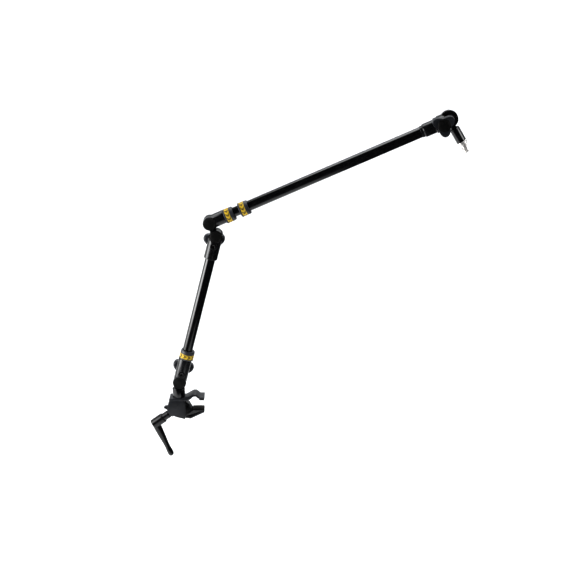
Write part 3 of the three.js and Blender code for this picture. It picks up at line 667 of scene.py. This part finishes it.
install("clamp_jaw", jaw(), CLAMP_FRAME)
install("hook_pad", ribbed_pad(45.3, 56.7, PAD_LOW, PAD_HIGH, HOOK_HALF - 1, True), CLAMP_FRAME)
install("jaw_pad", ribbed_pad(30, 56, JAW_PAD_TOP - 2.5, JAW_PAD_TOP, CHANNEL_HALF - 1.5, False),
        CLAMP_FRAME)
install("stud_set_screw", set_screw(-24.6, POST_X - 8.3), CLAMP_FRAME)
print("the jaws stand", PAD_LOW - JAW_PAD_TOP, "mm apart")

# %% [markdown]
# ## Clamping screw and lever
# The jaw is driven by a threaded rod. A thread could be a texture, but its outline shows against
# the light, so the rod's radius is a saw wave of height and angle. The lever lifts off its splines
# to be turned, and its arm leaves the hub in one soft moulded sweep.

# %% Screw, splined sleeve and spring
SCREW_RADIUS, SCREW_HEAD, SCREW_TIP, THREAD_PITCH = 5.0, -57.5, 6.5, 3.0
SPLINE_RADIUS, SLEEVE_END, SPLINES = 7.4, -48, 18


def coarse_thread(angle, height, radius):
    """A flat-topped wave, cut 0.7 mm deep along the screw and faded out at its ends."""
    wave = np.abs(((height / THREAD_PITCH - angle / (2 * np.pi)) % 1) * 2 - 1)
    fade = (np.clip((height - SCREW_HEAD - 3) / 3, 0, 1)
            * np.clip((SCREW_TIP - 1 - height) / 2, 0, 1))
    return 0.7 * np.clip(1.8 * wave - 0.4, 0, 1) * fade * (radius > 4.9)


steps = np.arange(SCREW_HEAD + 0.6, SCREW_TIP - 0.6, THREAD_PITCH / 10)
screw_rows = [(0, SCREW_HEAD + 12), (3.4, SCREW_HEAD + 12), (3.4, SCREW_HEAD), (4.4, SCREW_HEAD)]
screw_rows += [(SCREW_RADIUS, height) for height in steps] + [(4.2, SCREW_TIP), (0, SCREW_TIP)]
install("clamp_screw", turn(screw_rows, 64, groove=coarse_thread), SCREW_FRAME)


def spline_teeth(angle, height, radius):
    """Straight teeth on the part of the sleeve that the lever grips."""
    tooth = np.clip(0.5 + 1.6 * np.sin(SPLINES * angle), 0, 1)
    return 0.7 * tooth * ((height < SLEEVE_END - 0.2) & (radius > 7))


sleeve_wall = [(5.3, SCREW_HEAD), (SPLINE_RADIUS - 0.6, SCREW_HEAD),
               (SPLINE_RADIUS, SCREW_HEAD + 0.6),
               (SPLINE_RADIUS, -53), (SPLINE_RADIUS, SLEEVE_END - 0.3), (SPLINE_RADIUS, SLEEVE_END),
               (8.7, SLEEVE_END), (9, SLEEVE_END + 0.3), (9, -34), (8.2, -33), (5.3, -33)]
install("lever_base", turn(sleeve_wall, 216, ring=True, groove=spline_teeth), SCREW_FRAME)


def coil(radius, wire, z0, height, turns):
    """A small circle carried along a helix: out along the radius and up the axis."""
    count, around = 220, 12
    t = np.linspace(0, 1, count)[:, None]
    phase = np.linspace(0, 2 * np.pi, around, endpoint=False)[None, :]
    angle, reach = 2 * np.pi * turns * t, radius + wire * np.cos(phase)
    z = z0 + height * t + wire * np.sin(phase)
    points = np.stack([reach * np.cos(angle), reach * np.sin(angle), z], -1).reshape(-1, 3)
    ends = [list(range(around)), list(range(len(points) - around, len(points)))]
    return points, grid_faces(count, around) + ends


install("lever_spring", coil(4.9, 0.55, -69.1, 3, 2.5), SCREW_FRAME)
print("screw thread pitch in mm:", THREAD_PITCH)

# %% Lever, its screw and its end cap
LEVER_TILT, LEVER_ROOT = math.radians(102.4), -72
HUB_END, HUB_RADIUS, WEB_INNER, WEB_OUTER = -79, 11.5, -58.5, -62


def clamping_lever():
    """The hub and the waisted arm are joined, and a fine voxel remesh with some smoothing melts
    the crease between them; the bores are cut afterwards so that they stay crisp."""
    hub = turn(rounded([(0, HUB_END), (HUB_RADIUS, HUB_END), (HUB_RADIUS, SLEEVE_END - 0.3),
                        (0, SLEEVE_END - 0.3)], 1.4))
    arm = [(0, 0), (9.3, 0), (9.2, 8), (8.9, 17), (8.1, 30), (7.1, 43), (6.2, 56), (5.9, 66),
           (6.3, 71), (6.8, 76), (6.8, 83), (6.2, 87), (4.4, 89.4), (2, 90.2), (0, 90.4)]
    points, faces = turn(rounded(arm, 1.5, steps=3), 72)
    sin, cos = math.sin(LEVER_TILT), math.cos(LEVER_TILT)
    x, y, z = points.T
    laid = np.stack([cos * x + sin * z, y, LEVER_ROOT - sin * x + cos * z], 1)
    thing = milled(hub, [(laid, faces)], [], edge=0)
    melt = thing.modifiers.new("melt", "REMESH")
    melt.mode, melt.voxel_size = "VOXEL", 0.62
    ease = thing.modifiers.new("ease", "SMOOTH")
    ease.factor, ease.iterations = 0.5, 12
    settle(thing)
    for cutter in (rod(SPLINE_RADIUS + 0.5, WEB_INNER, 0), rod(3.5, WEB_OUTER - 2, WEB_INNER + 2),
                   rod(8.5, HUB_END - 1, WEB_OUTER)):
        tool = as_object("tool", cutter)
        step = thing.modifiers.new("bore", "BOOLEAN")
        step.operation, step.object, step.solver = "DIFFERENCE", tool, "MANIFOLD"
        settle(thing)
        bpy.data.objects.remove(tool)
    return thing


install("clamp_lever", clamping_lever(), SCREW_FRAME)
cap_rows = [(0, HUB_END - 1), (6.3, HUB_END - 0.7), (8.1, HUB_END + 0.4), (8.1, HUB_END + 1.6),
            (0, HUB_END + 1.6)]
install("lever_end_cap", turn(rounded(cap_rows, 0.4)), SCREW_FRAME)
retainer = [(0, -47), (2.6, -47), (3, -47.5), (3, -70), (5.7, -70), (6, -70.3), (6, -73.4),
            (5.3, -74), (0, -74)]
install("lever_retaining_screw", turn(rounded(retainer, 0.25)), SCREW_FRAME)
print("lever faces:", len(MADE[-3].data.polygons))

# %% [markdown]
# ## The tip joint
# The boom ends in a fork with a small cheek in front and a large round cheek behind. A knuckle
# turns between them and carries a short stub with the bright screw thread for the microphone.

# %% Tip fork, pin and bolt
TIP_PINCH = -15.5


def tip_fork():
    """A stepped turned socket, two cheeks and a boss, with the slot for the knuckle milled out."""
    start = -67
    profile = [(0, start), (12.9, start), (12.9, -61), (14.9, -59.5), (14.9, -34.5), (17.2, -33),
               (17.2, -8), (0, -8)]
    shaped = milled(turn(rounded(profile, 0.6), 128), [], [
        brick(-30, 30, 14, 20, -60, 30), brick(-30, 30, -20, -15, -60, 30)], edge=0)
    mesh = shaped.data
    flat = np.zeros(len(mesh.vertices) * 3)
    mesh.vertices.foreach_get("co", flat)
    blank = (flat.reshape(-1, 3), [list(face.vertices) for face in mesh.polygons])
    bpy.data.objects.remove(shaped)
    front = [rod_y(13, -14, 4), brick(-13, 13, -14, 4, -20, 0)]
    rear = [rod_y(20, 4.3, 14, edge=0.8), brick(-16, 16, 4.3, 14, -24, 0)]
    boss = rod_y(7.5, -17, 0, z=TIP_PINCH, edge=0.5)
    cuts = [brick(-30, 30, -8.3, 4.3, -10.8, 30), rod_y(10.9, -8.3, 4.3),
            brick(-30, 30, -3, 0, -30, 0),
            rod_y(PIN_RADIUS + 0.4, -20, 20, sides=48),
            rod_y(BOLT_RADIUS + 0.4, -20, 10, z=TIP_PINCH, sides=48),
            rod(OUTER_RADIUS + 0.35, start - 1, -44)]
    return milled(blank, front + rear + [boss], cuts, edge=0.45)


install("tip_fork", tip_fork(), TIP_FORK_FRAME)
install("tip_hinge_pin", rod_y(PIN_RADIUS, -13.8, 13.8, edge=0.5), TIP_FORK_FRAME)
install("tip_pinch_bolt", rod_y(BOLT_RADIUS, -BOSS_FACE - 12, 9.5, z=TIP_PINCH, edge=0.4),
        TIP_FORK_FRAME)
print("tip fork faces:", len(MADE[-3].data.polygons))

# %% Knuckle, stud and threaded adapter
FLANGE_END, ADAPTER_END, ADAPTER_PITCH = 61.5, 81.0, 0.94


def knuckle():
    """A round tongue on a neck, and a shoulder that the stub is pressed over."""
    tongue = rod_y(10.5, -8, 4, edge=0.7)
    neck = brick(-6, 6, -8, 4, 0, 22.5)
    shoulder = [(0, 21.5), (10.2, 21.5), (11, 22.3), (11, 24.5), (9.2, 24.5), (9.2, 38), (0, 38)]
    hole = rod_y(PIN_RADIUS + 0.4, -20, 20, sides=48)
    return milled(turn(rounded(shoulder, 0.3)), [neck, tongue], [hole], edge=0.4)


def fine_thread(angle, height, radius):
    """The adapter's thread: 27 turns to the inch, 0.5 mm deep, on the barrel only."""
    wave = np.abs(((height / ADAPTER_PITCH - angle / (2 * np.pi)) % 1) * 2 - 1)
    fade = (np.clip((height - FLANGE_END - 1.2) / 0.8, 0, 1)
            * np.clip((ADAPTER_END - 0.8 - height) / 0.8, 0, 1))
    return 0.5 * wave * fade * (radius > 7.5)


barrel = np.arange(FLANGE_END + 0.2, ADAPTER_END - 0.7, ADAPTER_PITCH / 6)
adapter_rows = [(5.15, STUB_END + 0.3), (10.3, STUB_END + 0.3), (10.9, STUB_END + 0.5),
                (11.4, STUB_END + 1.2), (11.4, FLANGE_END - 0.9), (11.2, FLANGE_END - 0.3),
                (10.6, FLANGE_END), (7.94, FLANGE_END)]
adapter_rows += [(7.94, height) for height in barrel]
adapter_rows += [(7.6, ADAPTER_END - 0.3), (7.1, ADAPTER_END), (5.5, ADAPTER_END),
                 (5.15, ADAPTER_END - 0.4)]
stud_rows = rounded([(0, 42), (9.2, 42), (9.2, 54), (4.76, 54), (4.76, 73), (0, 73)], 0.4)
install("tip_knuckle", knuckle(), TIP_FRAME)
install("threaded_stud", turn(stud_rows), TIP_FRAME)
install("thread_adapter", turn(adapter_rows, 72, ring=True, groove=fine_thread), TIP_FRAME)
left = sorted(set(SLOT) - {thing.name[:-5] for thing in MADE})
print("nodes without a fine piece:", left)

# %% [markdown]
# ## Finishes
# Every finish is a node material. Nodes could be wired by hand; a small class that wraps a socket
# lets the wiring read like sums instead. All patterns read Object coordinates, so they stay on the
# piece when it moves, and each finish has its own grain, colour drift, worn edges and dust.

# %% Shader arithmetic
class Field:
    """A socket whose value varies over a surface, with arithmetic."""

    def __init__(self, finish, socket):
        self.finish, self.socket = finish, socket

    def sum_with(self, operation, first, second):
        settings = {"operation": operation}
        return self.finish.node("ShaderNodeMath", settings, {0: first, 1: second}, 0)

    def __add__(self, other):
        return self.sum_with("ADD", self, other)

    def __sub__(self, other):
        return self.sum_with("SUBTRACT", self, other)

    def __rsub__(self, other):
        return self.sum_with("SUBTRACT", other, self)

    def __mul__(self, other):
        return self.sum_with("MULTIPLY", self, other)

    def above(self, level):
        return self.sum_with("GREATER_THAN", self, level)

    __radd__, __rmul__ = __add__, __mul__


class Finish:
    """One material: a Principled shader whose sockets take numbers, colours or fields."""

    def __init__(self, name, **constant):
        self.material = bpy.data.materials.new(name)
        self.material.use_nodes = True
        self.tree = self.material.node_tree
        self.shader = self.tree.nodes["Principled BSDF"]
        self.place = self.node("ShaderNodeTexCoord", {}, {}, "Object")
        for socket, value in constant.items():
            self.feed(self.shader, socket.replace("_", " "), value)

    def feed(self, node, socket, value):
        if isinstance(value, Field):
            self.tree.links.new(value.socket, node.inputs[socket])
        else:
            node.inputs[socket].default_value = value

    def node(self, kind, settings, sockets, output):
        made = self.tree.nodes.new(kind)
        for setting, value in settings.items():
            if setting == "stops":
                for stop, (position, level) in zip(made.color_ramp.elements, value):
                    stop.position, stop.color = position, (level, level, level, 1)
            else:
                setattr(made, setting, value)
        for socket, value in sockets.items():
            self.feed(made, socket, value)
        return Field(self, made.outputs[output])

    def noise(self, scale, detail=4.0, stretch=(1, 1, 1)):
        sized = self.node("ShaderNodeMapping", {}, {"Vector": self.place, "Scale": stretch}, 0)
        sockets = {"Vector": sized, "Scale": scale, "Detail": detail, "Roughness": 0.55}
        return self.node("ShaderNodeTexNoise", {}, sockets, "Fac")

    def ramp(self, value, low, high):
        """0 below low, 1 above high, a straight climb between."""
        stops = [(low, 0.0), (high, 1.0)]
        return self.node("ShaderNodeValToRGB", {"stops": stops}, {"Fac": value}, "Color")

    def mix(self, factor, first, second):
        settings = {"data_type": "RGBA", "clamp_factor": True}
        return self.node("ShaderNodeMix", settings, {0: factor, 6: first, 7: second}, 2)

    def paint(self, colour, roughness, height, lift):
        self.feed(self.shader, "Base Color", colour)
        self.feed(self.shader, "Roughness", roughness)
        sockets = {"Height": height, "Strength": 1.0, "Distance": lift}
        self.feed(self.shader, "Normal", self.node("ShaderNodeBump", {}, sockets, "Normal"))
        return self.material


def rgb(red, green, blue):
    return (red, green, blue, 1.0)


print("shader tools ready")

# %% [markdown]
# ### Lacquer, castings and mouldings
# A gloss lacquer is a dark pigment under a clear coat, with a faint orange peel. Powder-coated
# castings and plastic mouldings differ in how deep and how fine their grain is, so one recipe
# with other numbers makes them all. Where an edge is worn, the coat is thinner, paler and smoother.

# %% The painted finishes
def painted(name, dark, light, rough, grain, lift, worn, dust=0.0, **constant):
    """Two shades drift into each other, grain lifts the surface, the rim is rubbed, dust dulls."""
    finish = Finish(name, **constant)
    drift = finish.ramp(finish.noise(38, 3), 0.35, 0.65)
    fleck = finish.noise(grain, 3)
    rim = finish.node("ShaderNodeAttribute", {"attribute_name": "rim"}, {}, "Fac")
    scuffs = finish.ramp(finish.noise(420, 5), 0.42, 0.62)
    rubbed = finish.ramp(rim, 0.42, 0.95) * scuffs
    film = finish.ramp(finish.noise(95, 5), 0.5, 0.72) * dust
    colour = finish.mix(drift, dark, light)
    colour = finish.mix(rubbed, colour, worn)
    colour = finish.mix(film, colour, rgb(0.30, 0.29, 0.27))
    roughness = rough + 0.10 * (fleck - 0.5) + 0.05 * (drift - 0.5) + 0.5 * film - 0.06 * rubbed
    height = fleck + 0.35 * finish.noise(grain * 2.7, 2)
    return finish.paint(colour, roughness, height, lift)


PAINTS = {
    "gloss_black": painted("gloss_black", rgb(0.0018, 0.0019, 0.0024), rgb(0.003, 0.0031, 0.0038),
                           0.09, 260, 0.00002, rgb(0.02, 0.02, 0.022), 0.015, Coat_Weight=0.15,
                           Coat_Roughness=0.04),
    "lever_black": painted("lever_black", rgb(0.0018, 0.0018, 0.0022), rgb(0.003, 0.003, 0.0037),
                           0.2, 320, 0.00003, rgb(0.02, 0.02, 0.02), 0.02),
    "cast_black": painted("cast_black", rgb(0.0022, 0.0024, 0.0033), rgb(0.004, 0.0044, 0.0058),
                          0.21, 900, 0.00006, rgb(0.035, 0.035, 0.038), 0.02),
    "cast_slate": painted("cast_slate", rgb(0.0055, 0.0065, 0.0095), rgb(0.009, 0.0105, 0.0145),
                          0.36, 1300, 0.00010, rgb(0.06, 0.062, 0.068), 0.03,
                          Specular_IOR_Level=0.45),
    "knob_slate": painted("knob_slate", rgb(0.008, 0.0095, 0.014), rgb(0.013, 0.015, 0.021),
                          0.42, 1900, 0.00008, rgb(0.045, 0.046, 0.05), 0.03,
                          Specular_IOR_Level=0.4),
    "cap_black": painted("cap_black", rgb(0.0018, 0.0018, 0.0018), rgb(0.0032, 0.0032, 0.0032),
                         0.5, 2100, 0.00007, rgb(0.012, 0.012, 0.012), 0.02,
                         Specular_IOR_Level=0.2),
    "collar_grey": painted("collar_grey", rgb(0.024, 0.026, 0.032), rgb(0.034, 0.036, 0.044),
                           0.42, 1700, 0.00007, rgb(0.09, 0.09, 0.095), 0.04),
    "rubber": painted("rubber", rgb(0.008, 0.007, 0.0065), rgb(0.014, 0.012, 0.011),
                      0.82, 2400, 0.00012, rgb(0.04, 0.036, 0.033), 0.10,
                      Specular_IOR_Level=0.3),
    "nylon": painted("nylon", rgb(0.52, 0.52, 0.47), rgb(0.62, 0.62, 0.57),
                     0.5, 1500, 0.00004, rgb(0.70, 0.70, 0.66)),
}
print("painted finishes:", sorted(PAINTS))

# %% [markdown]
# ### Printed band
# The band on each collar is printed yellow. Marks could be modelled, but they are ink, so they are
# drawn in the material: a row of dark chevrons that show which way the collar turns. They follow
# the angle about the collar's own axis and the distance along it.

# %% The yellow band
CHEVRONS, CHEVRON_REACH = 10, 4.0  # marks round a band, and their half width along it in mm


def band_paint(name, place, z0):
    """Chevrons stand where a saw wave of the angle is low; the distance from the band's middle
    shifts the wave, so that straight bars become arrow heads."""
    finish = Finish("band_yellow_" + name, Specular_IOR_Level=0.3)
    inverse = place.inverted()
    rows = [np.array(inverse[index]) for index in range(3)]
    offsets = [rows[0][3] - COLLAR_OFFSET, rows[1][3], rows[2][3] - z0]
    local = [finish.node("ShaderNodeVectorMath", {"operation": "DOT_PRODUCT"},
                         {0: finish.place, 1: tuple(row[:3])}, "Value") + float(offset)
             for row, offset in zip(rows, offsets)]
    angle = finish.node("ShaderNodeMath", {"operation": "ARCTAN2"}, {0: local[1], 1: local[0]}, 0)
    off = finish.node("ShaderNodeMath", {"operation": "ABSOLUTE"},
                      {0: local[2] - (BAND_FROM + BAND_TO) / 2}, 0)
    turns = angle * (CHEVRONS / (2 * math.pi)) + off * 0.11
    saw = finish.node("ShaderNodeMath", {"operation": "FRACT"}, {0: turns}, 0)
    ink = (1 - saw.above(0.5)) * (1 - off.above(CHEVRON_REACH))
    worn = finish.ramp(finish.noise(900, 5), 0.36, 0.46)
    drift = finish.ramp(finish.noise(60, 3), 0.35, 0.65)
    yellow = finish.mix(drift, rgb(0.50, 0.335, 0.018), rgb(0.60, 0.42, 0.035))
    colour = finish.mix(ink * worn * 0.94, yellow, rgb(0.035, 0.028, 0.012))
    fleck = finish.noise(1600, 3)
    roughness = 0.42 + 0.12 * (fleck - 0.5) + 0.1 * drift
    return finish.paint(colour, roughness, fleck + 0.5 * ink, 0.00004)


BANDS = {name + "_band_fine": band_paint(name, place, z0) for name, place, z0, _ in COLLARS}
print("bands:", sorted(BANDS))

# %% [markdown]
# ### Bare metal
# The adapter is nickel plated and the bolts are zinc plated. Both carry the fine rings of turning,
# which are noise stretched across the axis; plating also has a faint cloudy tint.

# %% Plated metals
def plated(name, dark, light, rough, lift, direction, metallic=1.0):
    """Cloudy tint, turning rings across the axis and tiny pits; dirt stains lie in random patches.
    """
    finish = Finish(name, Metallic=metallic)
    rings = finish.node("ShaderNodeVectorMath", {"operation": "DOT_PRODUCT"},
                        {0: finish.place, 1: direction}, "Value")
    stripes = finish.node("ShaderNodeTexNoise", {"noise_dimensions": "1D"},
                          {"W": rings, "Scale": 2600.0, "Detail": 3.0}, "Fac")
    cloud = finish.ramp(finish.noise(120, 4), 0.35, 0.65)
    stains = finish.ramp(finish.noise(520, 4), 0.60, 0.74)
    colour = finish.mix(cloud, dark, light)
    colour = finish.mix(stains * 0.35, colour, rgb(0.20, 0.18, 0.16))
    roughness = rough + 0.12 * (stripes - 0.5) + 0.08 * cloud + 0.18 * stains
    return finish.paint(colour, roughness, stripes + 0.4 * finish.noise(2400, 2), lift)


TIP_AXIS = tuple(float(value) for value in MOUNT["adapter_end"]["axis"])
PAINTS["nickel"] = plated("nickel", rgb(0.70, 0.68, 0.66), rgb(0.84, 0.82, 0.80), 0.30, 0.00002,
                          TIP_AXIS, metallic=0.7)
PAINTS["fastener_steel"] = plated("fastener_steel", rgb(0.30, 0.31, 0.33), rgb(0.42, 0.43, 0.45),
                                  0.3, 0.00003, (0.0, 1.0, 0.0))
for thing in MADE:
    thing.data.materials.clear()
    thing.data.materials.append(BANDS.get(thing.name) or PAINTS[thing["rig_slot"]])
print("pieces painted:", len(MADE))

# %% [markdown]
# ## Floor, light and camera
# A product is shown on pale paper under one big soft box overhead, with a tall panel on the left
# and a small one high on the right. Gloss tubes show their surroundings as bands, so a
# photographer also sets up black flags: here the paper's front and right are dark, but only
# to reflections, and the sky is dark behind the camera. The boxes come from a direction-dependent
# sky, because it lights the paper evenly; the panels are glowing sheets that the camera can't see.

# %% Floor
FLOOR_DROP, FLOOR_HALF = 0.35, 40.0
floor_z = CAD_BOX[0][2] - FLOOR_DROP


def sheet_grid(origin, along_u, along_v, count=9):
    """A flat grid: the origin plus shares of two edge vectors."""
    u, v = np.meshgrid(np.linspace(0, 1, count), np.linspace(0, 1, count))
    points = np.array(origin) + u[..., None] * np.array(along_u) + v[..., None] * np.array(along_v)
    corner = (np.arange(count - 1)[:, None] * count + np.arange(count - 1)[None, :]).reshape(-1)
    faces = np.stack([corner, corner + 1, corner + count + 1, corner + count], 1).tolist()
    return points.reshape(-1, 3), faces


def smooth_step(finish, value, low, high):
    """0 below low, 1 above high, an S curve between; low may be the larger one."""
    settings = {"interpolation_type": "SMOOTHSTEP"}
    first, last = min(low, high), max(low, high)
    ends = {"Value": value, "From Min": first, "From Max": last}
    if low > high:
        ends.update({"To Min": 1.0, "To Max": 0.0})
    return finish.node("ShaderNodeMapRange", settings, ends, "Result")


floor = as_object("paper_floor", sheet_grid((-FLOOR_HALF, -FLOOR_HALF, floor_z),
                                            (2 * FLOOR_HALF, 0, 0), (0, 2 * FLOOR_HALF, 0)))
paper = Finish("paper", Roughness=0.9)
fibre = paper.noise(9, 4)
paper.feed(paper.shader, "Base Color",
           paper.mix(fibre, rgb(0.80, 0.80, 0.80), rgb(0.83, 0.83, 0.83)))
apart = paper.node("ShaderNodeSeparateXYZ", {}, {"Vector": paper.place}, "X")
floor_x, floor_y = apart, Field(paper, apart.socket.node.outputs["Y"])
lit = smooth_step(paper, floor_y, -1.3, -0.9) * smooth_step(paper, floor_x, 0.75, 0.55)
glossy = paper.node("ShaderNodeLightPath", {}, {}, "Is Glossy Ray")
flag = paper.node("ShaderNodeBsdfDiffuse", {}, {"Color": rgb(0.02, 0.02, 0.02)}, 0)
shown = paper.node("ShaderNodeMixShader", {},
                   {0: glossy * (1 - lit), 1: Field(paper, paper.shader.outputs[0]), 2: flag}, 0)
paper.tree.links.new(shown.socket, paper.tree.nodes["Material Output"].inputs["Surface"])
floor.data.materials.append(paper.material)
print("floor at", round(floor_z, 3), "m")


# %% Glowing panels
def panel(name, origin, along_u, along_v, radiance):
    """A sheet that glows most in its middle and fades to a tenth at its edges."""
    thing = as_object(name, sheet_grid(origin, along_u, along_v))
    glow = Finish(name)
    centre = np.array(origin) + 0.5 * np.array(along_u) + 0.5 * np.array(along_v)
    parts = []
    for edge in (np.array(along_u, float), np.array(along_v, float)):
        reach = glow.node("ShaderNodeVectorMath", {"operation": "DOT_PRODUCT"},
                          {0: glow.place, 1: tuple(edge / edge.dot(edge) * 2)}, "Value")
        away = glow.node("ShaderNodeMath", {"operation": "ABSOLUTE"},
                         {0: reach - float(centre.dot(edge) / edge.dot(edge) * 2)}, 0)
        parts.append(smooth_step(glow, away, 1.0, 0.25) * 0.9 + 0.1)
    shine = glow.node("ShaderNodeEmission", {}, {"Strength": parts[0] * parts[1] * radiance}, 0)
    glow.tree.links.new(shine.socket, glow.tree.nodes["Material Output"].inputs["Surface"])
    thing.data.materials.append(glow.material)
    thing.visible_camera = False


LEFT_GLOW, RIGHT_GLOW = 12.0, 7.0
panel("left_panel", (-1.6, -1.65, floor_z + 0.02), (0, 2.15, 0), (0, 0, 1.7), LEFT_GLOW)
panel("right_panel", (2.2, -1.5, 0.55), (0, 1.7, 0), (0, 0, 1.1), RIGHT_GLOW)
print("two panels")

# %% Sky with soft boxes
world = bpy.data.worlds.new("studio")
bpy.context.scene.world = world
world.use_nodes = True


class Sky(Finish):
    """The same arithmetic on the world's nodes; a direction takes the place of a position."""

    def __init__(self, world):
        self.tree = world.node_tree
        self.place = self.node("ShaderNodeTexCoord", {}, {}, "Generated")

    def towards(self, direction, low, high):
        """0 where the angle's cosine to a direction is under low, 1 above high."""
        unit = tuple(float(v) for v in np.array(direction, float) / np.linalg.norm(direction))
        cosine = self.node("ShaderNodeVectorMath", {"operation": "DOT_PRODUCT"},
                           {0: self.place, 1: unit}, "Value")
        return smooth_step(self, cosine, low, high)


sky = Sky(world)
overhead = sky.towards((0.0, 0.3, 1.0), 0.82, 0.88)
behind = sky.towards((0.0, 1.0, 0.35), 0.1, 0.9)
seen = sky.node("ShaderNodeLightPath", {}, {}, "Is Camera Ray")
DIM_SKY, OVERHEAD_GLOW, BACK_GLOW = 0.02, 4.6, 0.8
brightness = (DIM_SKY + OVERHEAD_GLOW * overhead + BACK_GLOW * behind) * (1 - seen) + 1.0 * seen
background = world.node_tree.nodes["Background"]
background.inputs["Color"].default_value = (0.97, 0.985, 1.0, 1.0)
world.node_tree.links.new(brightness.socket, background.inputs["Strength"])
bpy.context.scene.view_settings.view_transform = "Standard"
DISPLAY_GAMMA = 0.8  # deepens the picture's contrast only; the materials don't carry it
bpy.context.scene.view_settings.gamma = DISPLAY_GAMMA
print("sky ready")

# %% Camera
CAMERA_PLACE, CAMERA_PITCH, LENS = (0.1995, -3.1000, 1.2754), math.radians(18), 90.0
lens = bpy.data.cameras.new("camera")
lens.lens, lens.sensor_width = LENS, 36.0
lens.clip_end = 200.0
camera = bpy.data.objects.new("camera", lens)
camera.location = CAMERA_PLACE
camera.rotation_euler = (math.pi / 2 - CAMERA_PITCH, 0.0, 0.0)
bpy.context.scene.collection.objects.link(camera)
bpy.context.scene.camera = camera
triangles = sum(sum(len(face.vertices) - 2 for face in thing.data.polygons) for thing in MADE)
print(len(MADE), "pieces,", triangles, "triangles")
